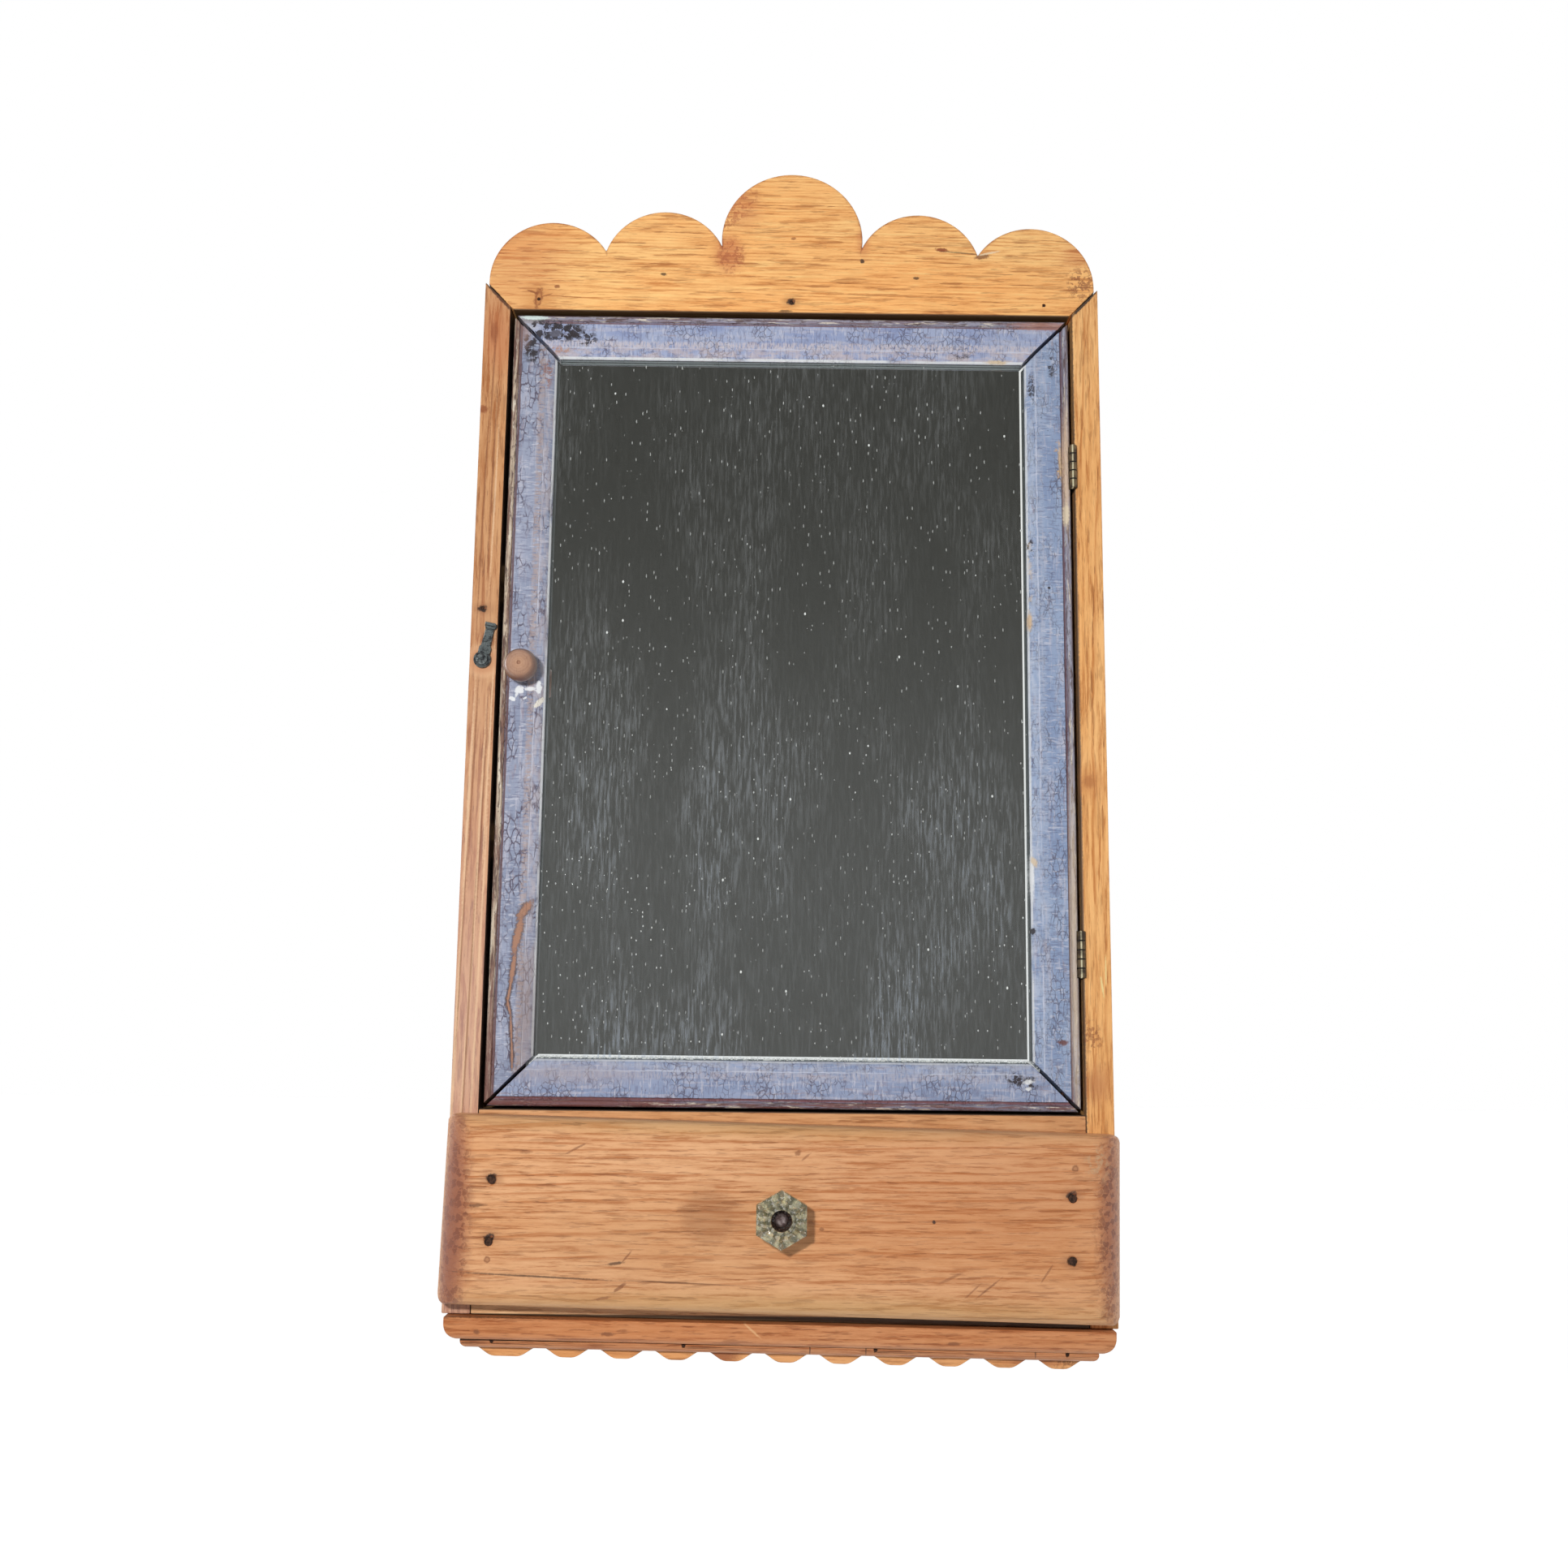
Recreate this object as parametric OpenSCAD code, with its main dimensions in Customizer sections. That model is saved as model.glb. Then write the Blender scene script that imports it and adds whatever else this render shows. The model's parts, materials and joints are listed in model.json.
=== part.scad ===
// Hanging pine medicine cabinet with a mirrored door, a turn button and one drawer.
// Millimetres. +X is a viewer's right, +Y goes into the wall, +Z is up.
// The origin lies midway between the two wall screws, on the wall.

/* [Case] */
// Width across the two side boards
case_w = 342; // [326:1:380]
// Depth from the wall to the front of the face frame
case_d = 140; // [120:1:180]
// Height of the door opening
door_opening_h = 436.5; // [400:0.5:500]
// Height of the drawer opening
drawer_opening_h = 79.5; // [76:0.5:100]
// Thickness of the side boards
side_t = 12; // [10:0.5:14]
// Thickness of the top board
top_t = 14; // [9:0.5:15]
// Thickness of the divider and bottom boards, and height of the rails before them
board_t = 12; // [10:0.5:14]
// Thickness of the back planks
back_t = 8; // [6:0.5:12]
// Number of back planks
back_planks = 3; // [3]
// Depth of the tongue between two back planks
tongue = 3; // [2:0.5:4]
// Height of the hanging rail
hanging_rail_h = 46; // [42:1:60]
// Thickness of the hanging rail
hanging_rail_t = 12; // [9:0.5:15]
// Height of the case's top edge above the wall screws
screw_drop = 38.9; // [32:0.1:42]
// Distance between the two wall screws
screw_spacing = 200; // [180:1:230]
// Radius of the wall screw holes
wall_hole_r = 2.5; // [2:0.1:3]

/* [Shelves] */
// Thickness of each shelf
shelf_t = 9; // [7:0.5:12]
// Side of the square cleats that carry the shelves
cleat = 9; // [7:0.5:12]
// Height of the lower shelf's top above the divider
lower_shelf_h = 150; // [120:1:180]
// Height of the upper shelf's top above the divider
upper_shelf_h = 294; // [260:1:320]
// Gap between the closed door and the shelf edges that stop it
stop_gap = 0.3; // [0.2:0.1:1]

/* [Face frame] */
// Width of the two stiles
stile_w = 14.5; // [14:0.5:18]
// Thickness of the frame, crown and rails
frame_t = 16; // [14:0.5:20]
// How far the crown's mitres start inside the stiles' inner edges
mitre_shift = 2; // [0:0.5:3]
// Open joint between two frame pieces
joint_gap = 0.3; // [0.1:0.1:0.6]
// How far the crown stops short of the case on each side
crown_inset = 2; // [0.5:0.5:4]
// Radius of the middle lobe
middle_lobe_r = 39.5; // [38:0.5:42]
// Height of the middle lobe's centre above the door opening
middle_lobe_h = 43.8; // [40:0.2:48]
// Radius of the two shoulder lobes
shoulder_lobe_r = 35; // [34:0.5:38]
// Height of the shoulder lobes' centres above the door opening
shoulder_lobe_h = 24.7; // [22:0.1:28]
// Radius of the two outer lobes
outer_lobe_r = 35; // [34:0.5:38]
// Height of the outer lobes' centres above the door opening
outer_lobe_h = 17.4; // [16:0.2:21]

/* [Base] */
// Clockwise slope of the case's foot and its base, in degrees
base_skew = 0.7; // [0:0.1:1.2]
// Open joint between the case and the base board
base_gap = 0.4; // [0.2:0.1:0.8]
// Glue line between the base board and the trim under it
glue_gap = 0.1; // [0.05:0.05:0.3]
// How far the base board stops short of the case at each end
base_inset = 2.5; // [0:0.5:6]
// Thickness of the base board
base_t = 11; // [9:0.5:14]
// How far the base board stands out before the face frame
base_proj = 7; // [5:0.5:10]
// Radius of the base board's lower corners, seen from the front
base_corner_r = 8; // [5:0.5:8.5]
// Radius of the base board's lower front edge
base_edge_r = 4; // [3:0.5:6]
// How far the moulding under the base board stops short of it at each end
moulding_inset = 8; // [6:0.5:10]
// Height of the moulding
moulding_h = 4.3; // [3.5:0.1:6]
// Depth of the moulding
moulding_d = 7; // [5:0.5:9]
// Radius of the moulding's lower edges
moulding_r = 3.4; // [2:0.2:3.4]
// How far the scalloped apron stops short of the moulding at each end
apron_inset = 5; // [3:0.5:8]
// Thickness of the apron
apron_t = 10; // [8:0.5:14]
// Number of scallops
scallops = 11; // [9:1:13]
// Extra width of the first scallop, at the left
first_scallop_extra = 6.6; // [0:0.2:9]
// How far the scallops hang below the moulding
scallop_h = 5; // [3:0.5:7]
// Length of each slope from a valley to a scallop's flat bottom
scallop_slope = 11.5; // [6:0.5:12]

/* [Door] */
// Thickness of the door
door_t = 16; // [15:0.5:19]
// How far the door's front lies behind the face frame's front
door_recess = 1; // [0.5:0.1:2]
// Gap at each side of the door
door_side_gap = 2.2; // [1.3:0.1:2.2]
// Gap above the door
door_top_gap = 2.3; // [1:0.1:3]
// Gap below the door
door_bottom_gap = 1.4; // [1:0.1:3]
// Width of the door's frame
door_frame_w = 24.55; // [23:0.05:30]
// Width of the bead round the outer edge
bead_w = 3.5; // [3:0.1:4]
// Width of the quirk beside the bead
quirk_w = 1.5; // [1:0.1:2]
// Depth of the quirk
quirk_d = 1.6; // [1:0.1:2]
// Step down from the flat to the inner ovolo
ovolo_step = 0.6; // [0.4:0.1:1]
// Radius of the inner ovolo
ovolo_r = 5.5; // [4.5:0.1:6]
// Depth from the door's front to the mirror
lip_t = 7.2; // [7.1:0.1:8]
// How far the rabbet reaches in behind the lip
rabbet_w = 5; // [4:0.5:6]
// Thickness of the mirror glass
mirror_t = 3; // [2.5:0.1:3.2]
// Clearance round the mirror in its rabbet
mirror_clear = 0.5; // [0.2:0.1:1]
// Width of the mirror's bevelled edge
bevel_w = 6.5; // [5:0.5:12]
// Depth of the mirror's bevel
bevel_d = 0.8; // [0.5:0.1:1.2]
// Thickness of the board behind the mirror
backing_t = 2.5; // [2:0.1:3]

/* [Hinges] */
// Height of each hinge
hinge_h = 24; // [20:0.5:30]
// Number of knuckles
knuckles = 5; // [3:2:5]
// Gap between two knuckles
knuckle_gap = 0.2; // [0.15:0.05:0.3]
// Radius of the barrel
barrel_r = 2; // [1.8:0.1:2.1]
// Step from the barrel to the flat part of a leaf
leaf_step = 0.3; // [0.2:0.1:0.5]
// Radius of the hinge pin
pin_r = 1; // [0.9:0.05:1.05]
// Running clearance of the pin in the door's knuckles
pin_clear = 0.05; // [0.03:0.01:0.1]
// Thickness of a leaf
leaf_t = 0.9; // [0.8:0.05:0.95]
// Width of a leaf, from the pin's centre to its back edge
leaf_w = 13; // [11:0.5:14]
// How far the pin's centre stands before the face frame
pin_proud = 1.2; // [1.1:0.1:1.6]
// Distance from the top of the door opening to the upper hinge's centre
upper_hinge_drop = 87.8; // [60:0.2:110]
// Height of the lower hinge's centre above the bottom of the door opening
lower_hinge_rise = 82.5; // [60:0.5:110]
// Length of the hinge screws
hinge_screw_len = 9; // [7:0.5:10]
// Radius of the hinge screws
hinge_screw_r = 0.9; // [0.8:0.1:1]
// Radius of the hinge screws' heads
hinge_head_r = 1.8; // [1.6:0.1:2]

/* [Door knob] */
// Height of the knob above the bottom of the door opening
knob_rise = 231; // [200:1:250]
// Distance from the door's edge to the knob's centre
knob_inset = 13; // [12:0.1:14]
// Radius of the knob's head
knob_r = 8.8; // [7:0.1:9]
// Radius of the knob's neck
knob_neck_r = 3.8; // [3.4:0.1:4]
// How far the knob stands out from the door
knob_len = 20; // [18:0.5:24]
// Length of the knob's neck
knob_neck_len = 8; // [8:0.5:10]
// Radius of the foot ring round the knob's neck
knob_foot_r = 4.6; // [4.4:0.1:6]
// Thickness of the foot ring
knob_foot_t = 1.2; // [0.8:0.1:2]
// Share of the head's length at which the knob is widest
knob_wide_share = 0.45; // [0.35:0.05:0.55]
// Radius of the knob's nearly flat face, seen from the side
knob_face_r = 23; // [18:1:40]
// Radius of the dimple in the middle of the face
knob_dimple_r = 1.1; // [0.5:0.1:1.5]
// Wood left between the screw's hole and the face
knob_screw_stop = 4; // [3:0.5:6]
// Radius of the knob's screw
knob_screw_r = 1.5; // [1.2:0.1:1.8]
// Radius of the knob screw's head
knob_head_r = 3; // [2.6:0.1:3.4]

/* [Turn button] */
// Height of the turn button's pivot above the knob
latch_rise = 5.3; // [4:0.1:8]
// Angle of the stored arm above the horizontal, turned clear of the door
latch_angle = 78; // [78:1:110]
// Distance from the pivot to the arm's tip
latch_reach = 20.5; // [18:0.5:22]
// Radius of the boss round the pivot
latch_boss_r = 4.6; // [4.5:0.1:5.5]
// Width of the arm
latch_arm_w = 5.4; // [4.5:0.1:6]
// Thickness of the arm
latch_t = 2.6; // [2:0.1:3]
// Height of the raised thumb piece at the tip
thumb_h = 3; // [2:0.5:4]
// Thickness of the thumb piece
thumb_t = 2.2; // [1.8:0.1:3]
// How far the thumb piece is wider than the arm on each side
thumb_lip = 0.6; // [0.2:0.1:1]
// Height of the raised rib along the arm
latch_rib_h = 0.5; // [0.3:0.1:0.8]
// Gap between the arm and the face frame
latch_gap = 0.3; // [0.2:0.1:0.5]
// Radius of the latch screw
latch_screw_r = 1.6; // [1.4:0.1:1.8]
// Running clearance of the screw in the boss
latch_clear = 0.08; // [0.05:0.01:0.1]
// Radius of the latch screw's head
latch_head_r = 2.9; // [2.6:0.1:3.2]
// Height of the latch screw's domed head
latch_head_h = 1.6; // [1.2:0.1:2]
// Width of the slot in that head
latch_slot_w = 0.8; // [0.6:0.1:1.2]
// Turn of the slot, in degrees
latch_slot_turn = 30; // [0:5:175]
// Length of the latch screw in the wood
latch_screw_len = 22; // [18:1:28]

/* [Drawer] */
// Clockwise slope of the drawer front, in degrees
drawer_skew = 1.2; // [0:0.1:1.5]
// How far the drawer front reaches past the case at each end
front_reach = 0.5; // [-5:0.5:2]
// How far the drawer front laps over the rails, above and below
front_lap = 6.5; // [5:0.5:8]
// Thickness of the drawer front
front_t = 19; // [16:0.5:22]
// Radius of the rounded ends
end_r = 16; // [8:0.5:17]
// Radius of the rounded top and bottom edges
edge_r = 6; // [3:0.5:8]
// Radius of the four corners, seen from the front
corner_r = 5.5; // [2:0.5:6]
// Gap between the closed drawer front and the face frame
front_gap = 0.3; // [0.2:0.1:0.6]
// Gap between the drawer box and the stiles at each side
drawer_side_gap = 5.5; // [3:0.5:8]
// Height of the drawer box
drawer_h = 70; // [60:1:74]
// Thickness of the drawer's sides and back
drawer_side_t = 12; // [10:0.5:14]
// Gap between the drawer box and the back planks
drawer_back_gap = 12; // [8:1:30]
// Thickness of the drawer bottom
drawer_bottom_t = 5; // [4:0.5:6]
// Height of the drawer bottom's groove above the sides' lower edges
groove_rise = 5; // [4:0.5:7]
// Depth of the groove
groove_d = 4; // [3:0.5:5]
// Clearance below the drawer
drawer_clear = 0.3; // [0.2:0.1:0.5]
// Clearance at each side of the drawer, against its guides
guide_clear = 0.6; // [0.3:0.1:1]
// Height of the drawer guides
guide_h = 20; // [14:1:30]
// Distance between the two nails at one end of the front
front_nail_span = 30; // [20:1:40]

/* [Glass knob] */
// Height of the glass knob above the middle of the drawer front
glass_knob_rise = 1.8; // [0:0.2:4]
// Turn of the hexagon, in degrees
glass_knob_turn = 0.5; // [0:0.1:3]
// Width of the hexagon across its flats
glass_w = 25; // [22:0.5:28]
// Thickness of the hexagonal head
glass_head_t = 9; // [7:0.5:12]
// Depth of the six sloping facets
glass_facet_d = 3.5; // [2:0.5:5]
// Share of the head's width that the flat front keeps
glass_front_share = 0.7; // [0.6:0.05:0.85]
// How far the knob stands out
glass_len = 21; // [18:0.5:26]
// Radius of the round foot
glass_foot_r = 9; // [7:0.5:10]
// Radius of the neck's narrowest part
glass_neck_r = 7; // [6:0.5:8]
// Radius of the recess for the bolt's head
glass_recess_r = 5; // [4.5:0.1:5.5]
// Depth of the recess
glass_recess_d = 5; // [4:0.5:7]
// Radius of the bolt
bolt_r = 2; // [1.6:0.1:2.2]
// Radius of the bolt's round head
bolt_head_r = 3.4; // [3:0.1:4]
// Width of the nut across its flats
nut_w = 8; // [7:0.5:9]
// Thickness of the nut
nut_t = 3; // [2.5:0.5:4]

/* [Nails] */
// Radius of a nail
nail_r = 0.9; // [0.7:0.1:1.1]
// Radius of a nail's head
nail_head_r = 2.1; // [1.6:0.1:2.4]
// Thickness of a nail's head
nail_head_t = 0.8; // [0.6:0.1:1]
// Distance of the side and base nails from the face frame and from the back
nail_inset = 22; // [16:1:30]
// Distance of the crown's outer nails from the sides of the case
crown_nail_inset = 30; // [24:1:40]
// Height of the crown's nails above the underside of the top board
crown_nail_rise = 4.2; // [3:0.1:8]
// Distance of the nail in the left stile above the turn button's pivot
stile_nail_rise = 29; // [24:1:40]
// Distance of the base nails from the face frame and from the back
base_nail_inset = 33; // [24:1:40]
// Distance of the nails in the back planks from the planks' edges
plank_nail_inset = 21.4; // [16:0.2:26]
// Distance of the end nails in the back planks from the boards
back_nail_inset = 60; // [40:1:90]
// Length of the nails through the sides and the drawer front
long_nail = 34; // [30:1:36]
// Length of the nails through the back planks
back_nail = 24; // [20:1:28]
// Height of the lower nail in the drawer's back corners above the sides' lower edges
back_corner_nail_rise = 24.5; // [18:0.5:30]
// Distance between the two nails in one of those corners
back_corner_nail_span = 28; // [20:1:32]
// Number of brads through the moulding
moulding_brad_count = 4; // [3:1:6]
// Distance of the outer brads from the moulding's ends
moulding_brad_inset = 16; // [10:1:24]
// Radius of the finishing nails and brads in the face frame
brad_r = 0.8; // [0.6:0.1:1]
// Length of the finishing nails in the face frame
brad_len = 30; // [24:1:34]
// Depth to which the finishing nails are set
brad_set = 0.4; // [0.2:0.1:0.8]
// Radius of the brads that hold the mirror's strips
strip_brad_r = 0.6; // [0.5:0.1:0.7]
// Length of those brads
strip_brad_len = 12; // [9:1:15]
// Clearance of a nail or screw in its hole
nail_fit = 0.04; // [0.02:0.01:0.06]

/* [Hidden] */

$fn = 64;

// A cut runs this far past the surface that it opens
past = 1;

// Colours
pine = [0.80, 0.57, 0.36];
old_pine = [0.72, 0.50, 0.31];
blue_paint = [0.51, 0.57, 0.73];
silver = [0.75, 0.76, 0.78];
aged_brass = [0.42, 0.34, 0.20];
black_iron = [0.13, 0.13, 0.13];
nail_steel = [0.35, 0.31, 0.28];
knob_wood = [0.60, 0.38, 0.27];
olive_glass = [0.66, 0.68, 0.52];

// Widths
half_w = case_w / 2;
inner_half = half_w - side_t;
opening_half = half_w - stile_w;

// Levels
case_top = screw_drop;
top_under = case_top - top_t;
opening_top = case_top - stile_w - mitre_shift;
opening_bottom = opening_top - door_opening_h;
divider_under = opening_bottom - board_t;
drawer_floor = divider_under - drawer_opening_h;
foot = drawer_floor - board_t;
lower_shelf_z = opening_bottom + lower_shelf_h;
upper_shelf_z = opening_bottom + upper_shelf_h;
rail_under = top_under - hanging_rail_h;

// Depths
front_y = -case_d;
frame_back_y = front_y + frame_t;
back_y = -back_t;
door_y = front_y + door_recess;
door_back_y = door_y + door_t;
shelf_y = door_back_y + stop_gap;

// Door
door_half = opening_half - door_side_gap;
door_top = opening_top - door_top_gap;
door_bottom = opening_bottom + door_bottom_gap;
door_h = door_top - door_bottom;
strip_w = rabbet_w;
rabbet_half_w = door_half - door_frame_w + rabbet_w;
rabbet_bottom = door_bottom + door_frame_w - rabbet_w;
rabbet_top = door_top - door_frame_w + rabbet_w;
mirror_half_w = rabbet_half_w - mirror_clear;
mirror_bottom = rabbet_bottom + mirror_clear;
mirror_top = rabbet_top - mirror_clear;
strip_y = door_y + lip_t + mirror_t + backing_t;

// Hinges
hinge_x = door_half + barrel_r - leaf_t;
hinge_y = front_y - pin_proud;
upper_hinge_z = opening_top - upper_hinge_drop;
lower_hinge_z = opening_bottom + lower_hinge_rise;
knuckle_pitch = (hinge_h + knuckle_gap) / knuckles;
plate_y = barrel_r + leaf_step;
hinge_screw_y = (plate_y + leaf_w) / 2;
hinge_screw_z = hinge_h / 4;
gain_clear = 0.2;

// Knob and turn button
knob_x = -door_half + knob_inset;
knob_z = opening_bottom + knob_rise;
latch_x = -half_w + stile_w / 2;
latch_z = knob_z + latch_rise;

// Drawer
front_w = case_w + 2 * front_reach;
drawer_w = 2 * (opening_half - drawer_side_gap);
front_h = drawer_opening_h + 2 * front_lap;
front_mid = drawer_floor + drawer_opening_h / 2;
front_back_y = front_y - front_gap;
drawer_base = drawer_floor + drawer_clear;
drawer_end_y = back_y - drawer_back_gap;
drawer_inner_half = drawer_w / 2 - drawer_side_t;

// Base
base_w = case_w - 2 * base_inset;
moulding_w = base_w - 2 * moulding_inset;
apron_w = moulding_w - 2 * apron_inset;
moulding_y = front_y - base_proj + base_edge_r;
apron_y = moulding_y + moulding_d;
trim_top = -base_gap - base_t - glue_gap;
scallop_pitch = (apron_w - first_scallop_extra) / scallops;
moulding_brad_x = moulding_w / 2 - moulding_brad_inset;
moulding_brad_pitch = 2 * moulding_brad_x / (moulding_brad_count - 1);

// Nail places
board_mids = [top_under + top_t / 2, opening_bottom - board_t / 2, drawer_floor - board_t / 2];
case_nail_ys = [frame_back_y + nail_inset, back_y - nail_inset];
base_nail_ys = [frame_back_y + base_nail_inset, back_y - base_nail_inset];
plank_w = case_w / back_planks;
back_nail_dx = plank_w / 2 - plank_nail_inset;
side_nail_zs = [
    top_under - back_nail_inset,
    (top_under + opening_bottom) / 2,
    opening_bottom + back_nail_inset
];
crown_nail_xs = [crown_nail_inset - half_w, 0, half_w - crown_nail_inset];
crown_nail_z = top_under + crown_nail_rise;
stile_nail_x = half_w - side_t / 2;
left_nail_z = latch_z + stile_nail_rise;
low_nail_z = front_mid - front_h / 4;

// Basic shapes

// A box between two corners
module box(low, high) {
    translate(low)
        cube(high - low);
}

// An outline in the XZ plane, given thickness t from y towards the wall
module slab(y, t) {
    translate([0, y + t, 0])
        rotate([90, 0, 0])
            linear_extrude(t)
                children();
}

// An outline in the YZ plane, run from x for a length
module run_x(x, length) {
    translate([x, 0, 0])
        rotate([90, 0, 90])
            linear_extrude(length)
                children();
}

// A strip whose two lower corners are rounded, with its top edge at 0
module rounded_below(w, h, r) {
    translate([-w / 2, r - h])
        square([w, h - r]);
    translate([r - w / 2, -h])
        square([w - 2 * r, h]);
    for (side = [-1, 1])
        intersection() {
            translate([side * (w / 2 - r), r - h])
                circle(r);
            translate([side > 0 ? w / 2 - r : -w / 2, -h])
                square(r);
        }
}

// A board's end section: depth d from y, height h below 0, with its lower front edge rounded
module rounded_front(y, d, h, r) {
    translate([y, r - h])
        square([d, h - r]);
    translate([y + r, -h])
        square([d - r, h]);
    intersection() {
        translate([y + r, r - h])
            circle(r);
        translate([y, -h])
            square(r);
    }
}

// A rectangle round the origin with four rounded corners
module rounded_rectangle(w, h, r) {
    square([w - 2 * r, h], center = true);
    square([w, h - 2 * r], center = true);
    for (sx = [-1, 1], sz = [-1, 1])
        translate([sx * (w / 2 - r), sz * (h / 2 - r)])
            circle(r);
}

// A nail along -Z, with its head's face at 0
module nail(length, r, head_r, head_t) {
    translate([0, 0, -length])
        cylinder(h = length, r = r);
    translate([0, 0, -head_t])
        cylinder(h = head_t, r = head_r);
}

// The hole that such a nail sits in
module nail_hole(length, r, head_r, head_t) {
    translate([0, 0, -length - nail_fit])
        cylinder(h = length + past, r = r + nail_fit);
    translate([0, 0, -head_t])
        cylinder(h = head_t + past, r = head_r + nail_fit);
}

// A countersunk wood screw along -Z, with its slotted head's face at 0
module flat_screw(length, r, head_r, head_t) {
    difference() {
        union() {
            translate([0, 0, -head_t])
                cylinder(h = head_t, r1 = r, r2 = head_r);
            translate([0, 0, -length])
                cylinder(h = length - head_t / 2, r = r);
        }
        box([-head_r - past, -head_r / 8, -head_t / 3], [head_r + past, head_r / 8, past]);
    }
}

// Wood screw holes, straight in the wood
module screw_hole(length, r) {
    translate([0, 0, -length - nail_fit])
        cylinder(h = length + past, r = r + nail_fit);
}

// Places

// The base hangs below the foot of the case, out of square with it
module on_base() {
    translate([0, 0, foot])
        rotate([0, base_skew, 0])
            children();
}

// All that is cut off below the sloping foot
module below_foot() {
    on_base()
        box([-case_w, -2 * case_d, -4 * board_t], [case_w, case_d, 0]);
}

// The nails through the sides into the top, divider and bottom boards
module at_case_nails() {
    for (side = [-1, 1], z = board_mids, y = case_nail_ys)
        translate([side * half_w, y, z])
            rotate([0, side * 90, 0])
                children();
}

// The nails through the back planks into the boards and the sides
module at_back_nails() {
    for (plank = [0:back_planks - 1], side = [-1, 1], z = board_mids)
        translate([(plank + 0.5) * plank_w - half_w + side * back_nail_dx, 0, z])
            rotate([-90, 0, 0])
                children();
    for (side = [-1, 1], z = side_nail_zs)
        translate([side * stile_nail_x, 0, z])
            rotate([-90, 0, 0])
                children();
}

// The finishing nails through the crown and the stiles
module at_face_nails() {
    for (x = crown_nail_xs)
        translate([x, front_y + brad_set, crown_nail_z])
            rotate([90, 0, 0])
                children();
    for (place = [[-1, left_nail_z], [-1, low_nail_z], [1, low_nail_z]])
        translate([place[0] * stile_nail_x, front_y + brad_set, place[1]])
            rotate([90, 0, 0])
                children();
}

// The nails up through the base board into the sides
module at_base_nails() {
    on_base()
        for (side = [-1, 1], y = base_nail_ys)
            translate([side * stile_nail_x, y, -base_gap - base_t])
                rotate([180, 0, 0])
                    children();
}

module case_nail_holes() {
    at_case_nails()
        nail_hole(long_nail, nail_r, nail_head_r, nail_head_t);
}

module back_nail_holes() {
    at_back_nails()
        nail_hole(back_nail, nail_r, nail_head_r, nail_head_t);
}

module face_nail_holes() {
    at_face_nails()
        nail_hole(brad_len, brad_r, brad_r, brad_r);
}

module base_nail_holes() {
    at_base_nails()
        nail_hole(long_nail, nail_r, nail_head_r, nail_head_t);
}

module wall_screw_holes() {
    for (side = [-1, 1])
        translate([side * screw_spacing / 2, past, 0])
            rotate([90, 0, 0])
                cylinder(h = back_t + hanging_rail_t + 2 * past, r = wall_hole_r);
}

// Case

module side_board(side) {
    color(pine)
        difference() {
            box([min(side * half_w, side * inner_half), frame_back_y, foot - board_t],
                [max(side * half_w, side * inner_half), back_y, case_top]);
            below_foot();
            case_nail_holes();
            back_nail_holes();
            face_nail_holes();
            base_nail_holes();
            latch_screw_hole();
        }
}

module left_side() {
    side_board(-1);
}

module right_side() {
    side_board(1);
}

// A board between the two sides
module inner_board(z, t) {
    difference() {
        box([-inner_half, frame_back_y, z], [inner_half, back_y, z + t]);
        case_nail_holes();
        back_nail_holes();
        face_nail_holes();
    }
}

module top_board() {
    color(pine)
        inner_board(top_under, top_t);
}

module divider_board() {
    color(pine)
        inner_board(divider_under, board_t);
}

module bottom_board() {
    color(pine)
        difference() {
            inner_board(foot - board_t, 2 * board_t);
            below_foot();
        }
}

// One back plank: a tongue on its right edge fits the groove in the next one's left edge
module back_plank(i) {
    x = i * plank_w - half_w;
    left_gap = i == 0 ? 0 : joint_gap;
    color(old_pine)
        difference() {
            union() {
                box([x + left_gap, back_y, foot - board_t], [x + plank_w, 0, case_top]);
                if (i < back_planks - 1)
                    box([x, back_y + back_t / 3, foot - board_t],
                        [x + plank_w + tongue, -back_t / 3, case_top]);
            }
            if (i > 0)
                box([x - past, back_y + back_t / 3 - nail_fit, foot - 2 * board_t],
                    [x + tongue + joint_gap, nail_fit - back_t / 3, case_top + past]);
            below_foot();
            back_nail_holes();
            wall_screw_holes();
        }
}

module back_plank_left() {
    back_plank(0);
}

module back_plank_centre() {
    back_plank(1);
}

module back_plank_right() {
    back_plank(2);
}

module hanging_rail() {
    color(pine)
        difference() {
            box([-inner_half, back_y - hanging_rail_t, rail_under], [inner_half, back_y, top_under]);
            wall_screw_holes();
        }
}

module shelf(z) {
    color(pine)
        box([-inner_half, shelf_y, z - shelf_t], [inner_half, back_y, z]);
}

module shelf_upper() {
    shelf(upper_shelf_z);
}

module shelf_lower() {
    shelf(lower_shelf_z);
}

// Four square strips under the ends of the shelves
module shelf_cleats() {
    color(old_pine)
        for (side = [-1, 1], z = [lower_shelf_z, upper_shelf_z])
            box([side > 0 ? inner_half - cleat : -inner_half, shelf_y + cleat, z - shelf_t - cleat],
                [side > 0 ? inner_half : cleat - inner_half, back_y, z - shelf_t]);
}

// Two strips that fill the space beside the drawer box
module drawer_guides() {
    guide_in = drawer_w / 2 + guide_clear;
    color(old_pine)
        for (side = [-1, 1])
            box([side > 0 ? guide_in : -inner_half, frame_back_y, drawer_floor],
                [side > 0 ? inner_half : -guide_in, back_y, drawer_floor + guide_h]);
}

// Face frame

// A stile, mitred at its top and cut on the slope at its foot
module stile(side) {
    difference() {
        slab(front_y, frame_t)
            polygon([
                [side * half_w, foot - board_t],
                [side * opening_half, foot - board_t],
                [side * opening_half, opening_top + mitre_shift - joint_gap],
                [side * half_w, case_top - joint_gap]
            ]);
        below_foot();
        face_nail_holes();
    }
}

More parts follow.
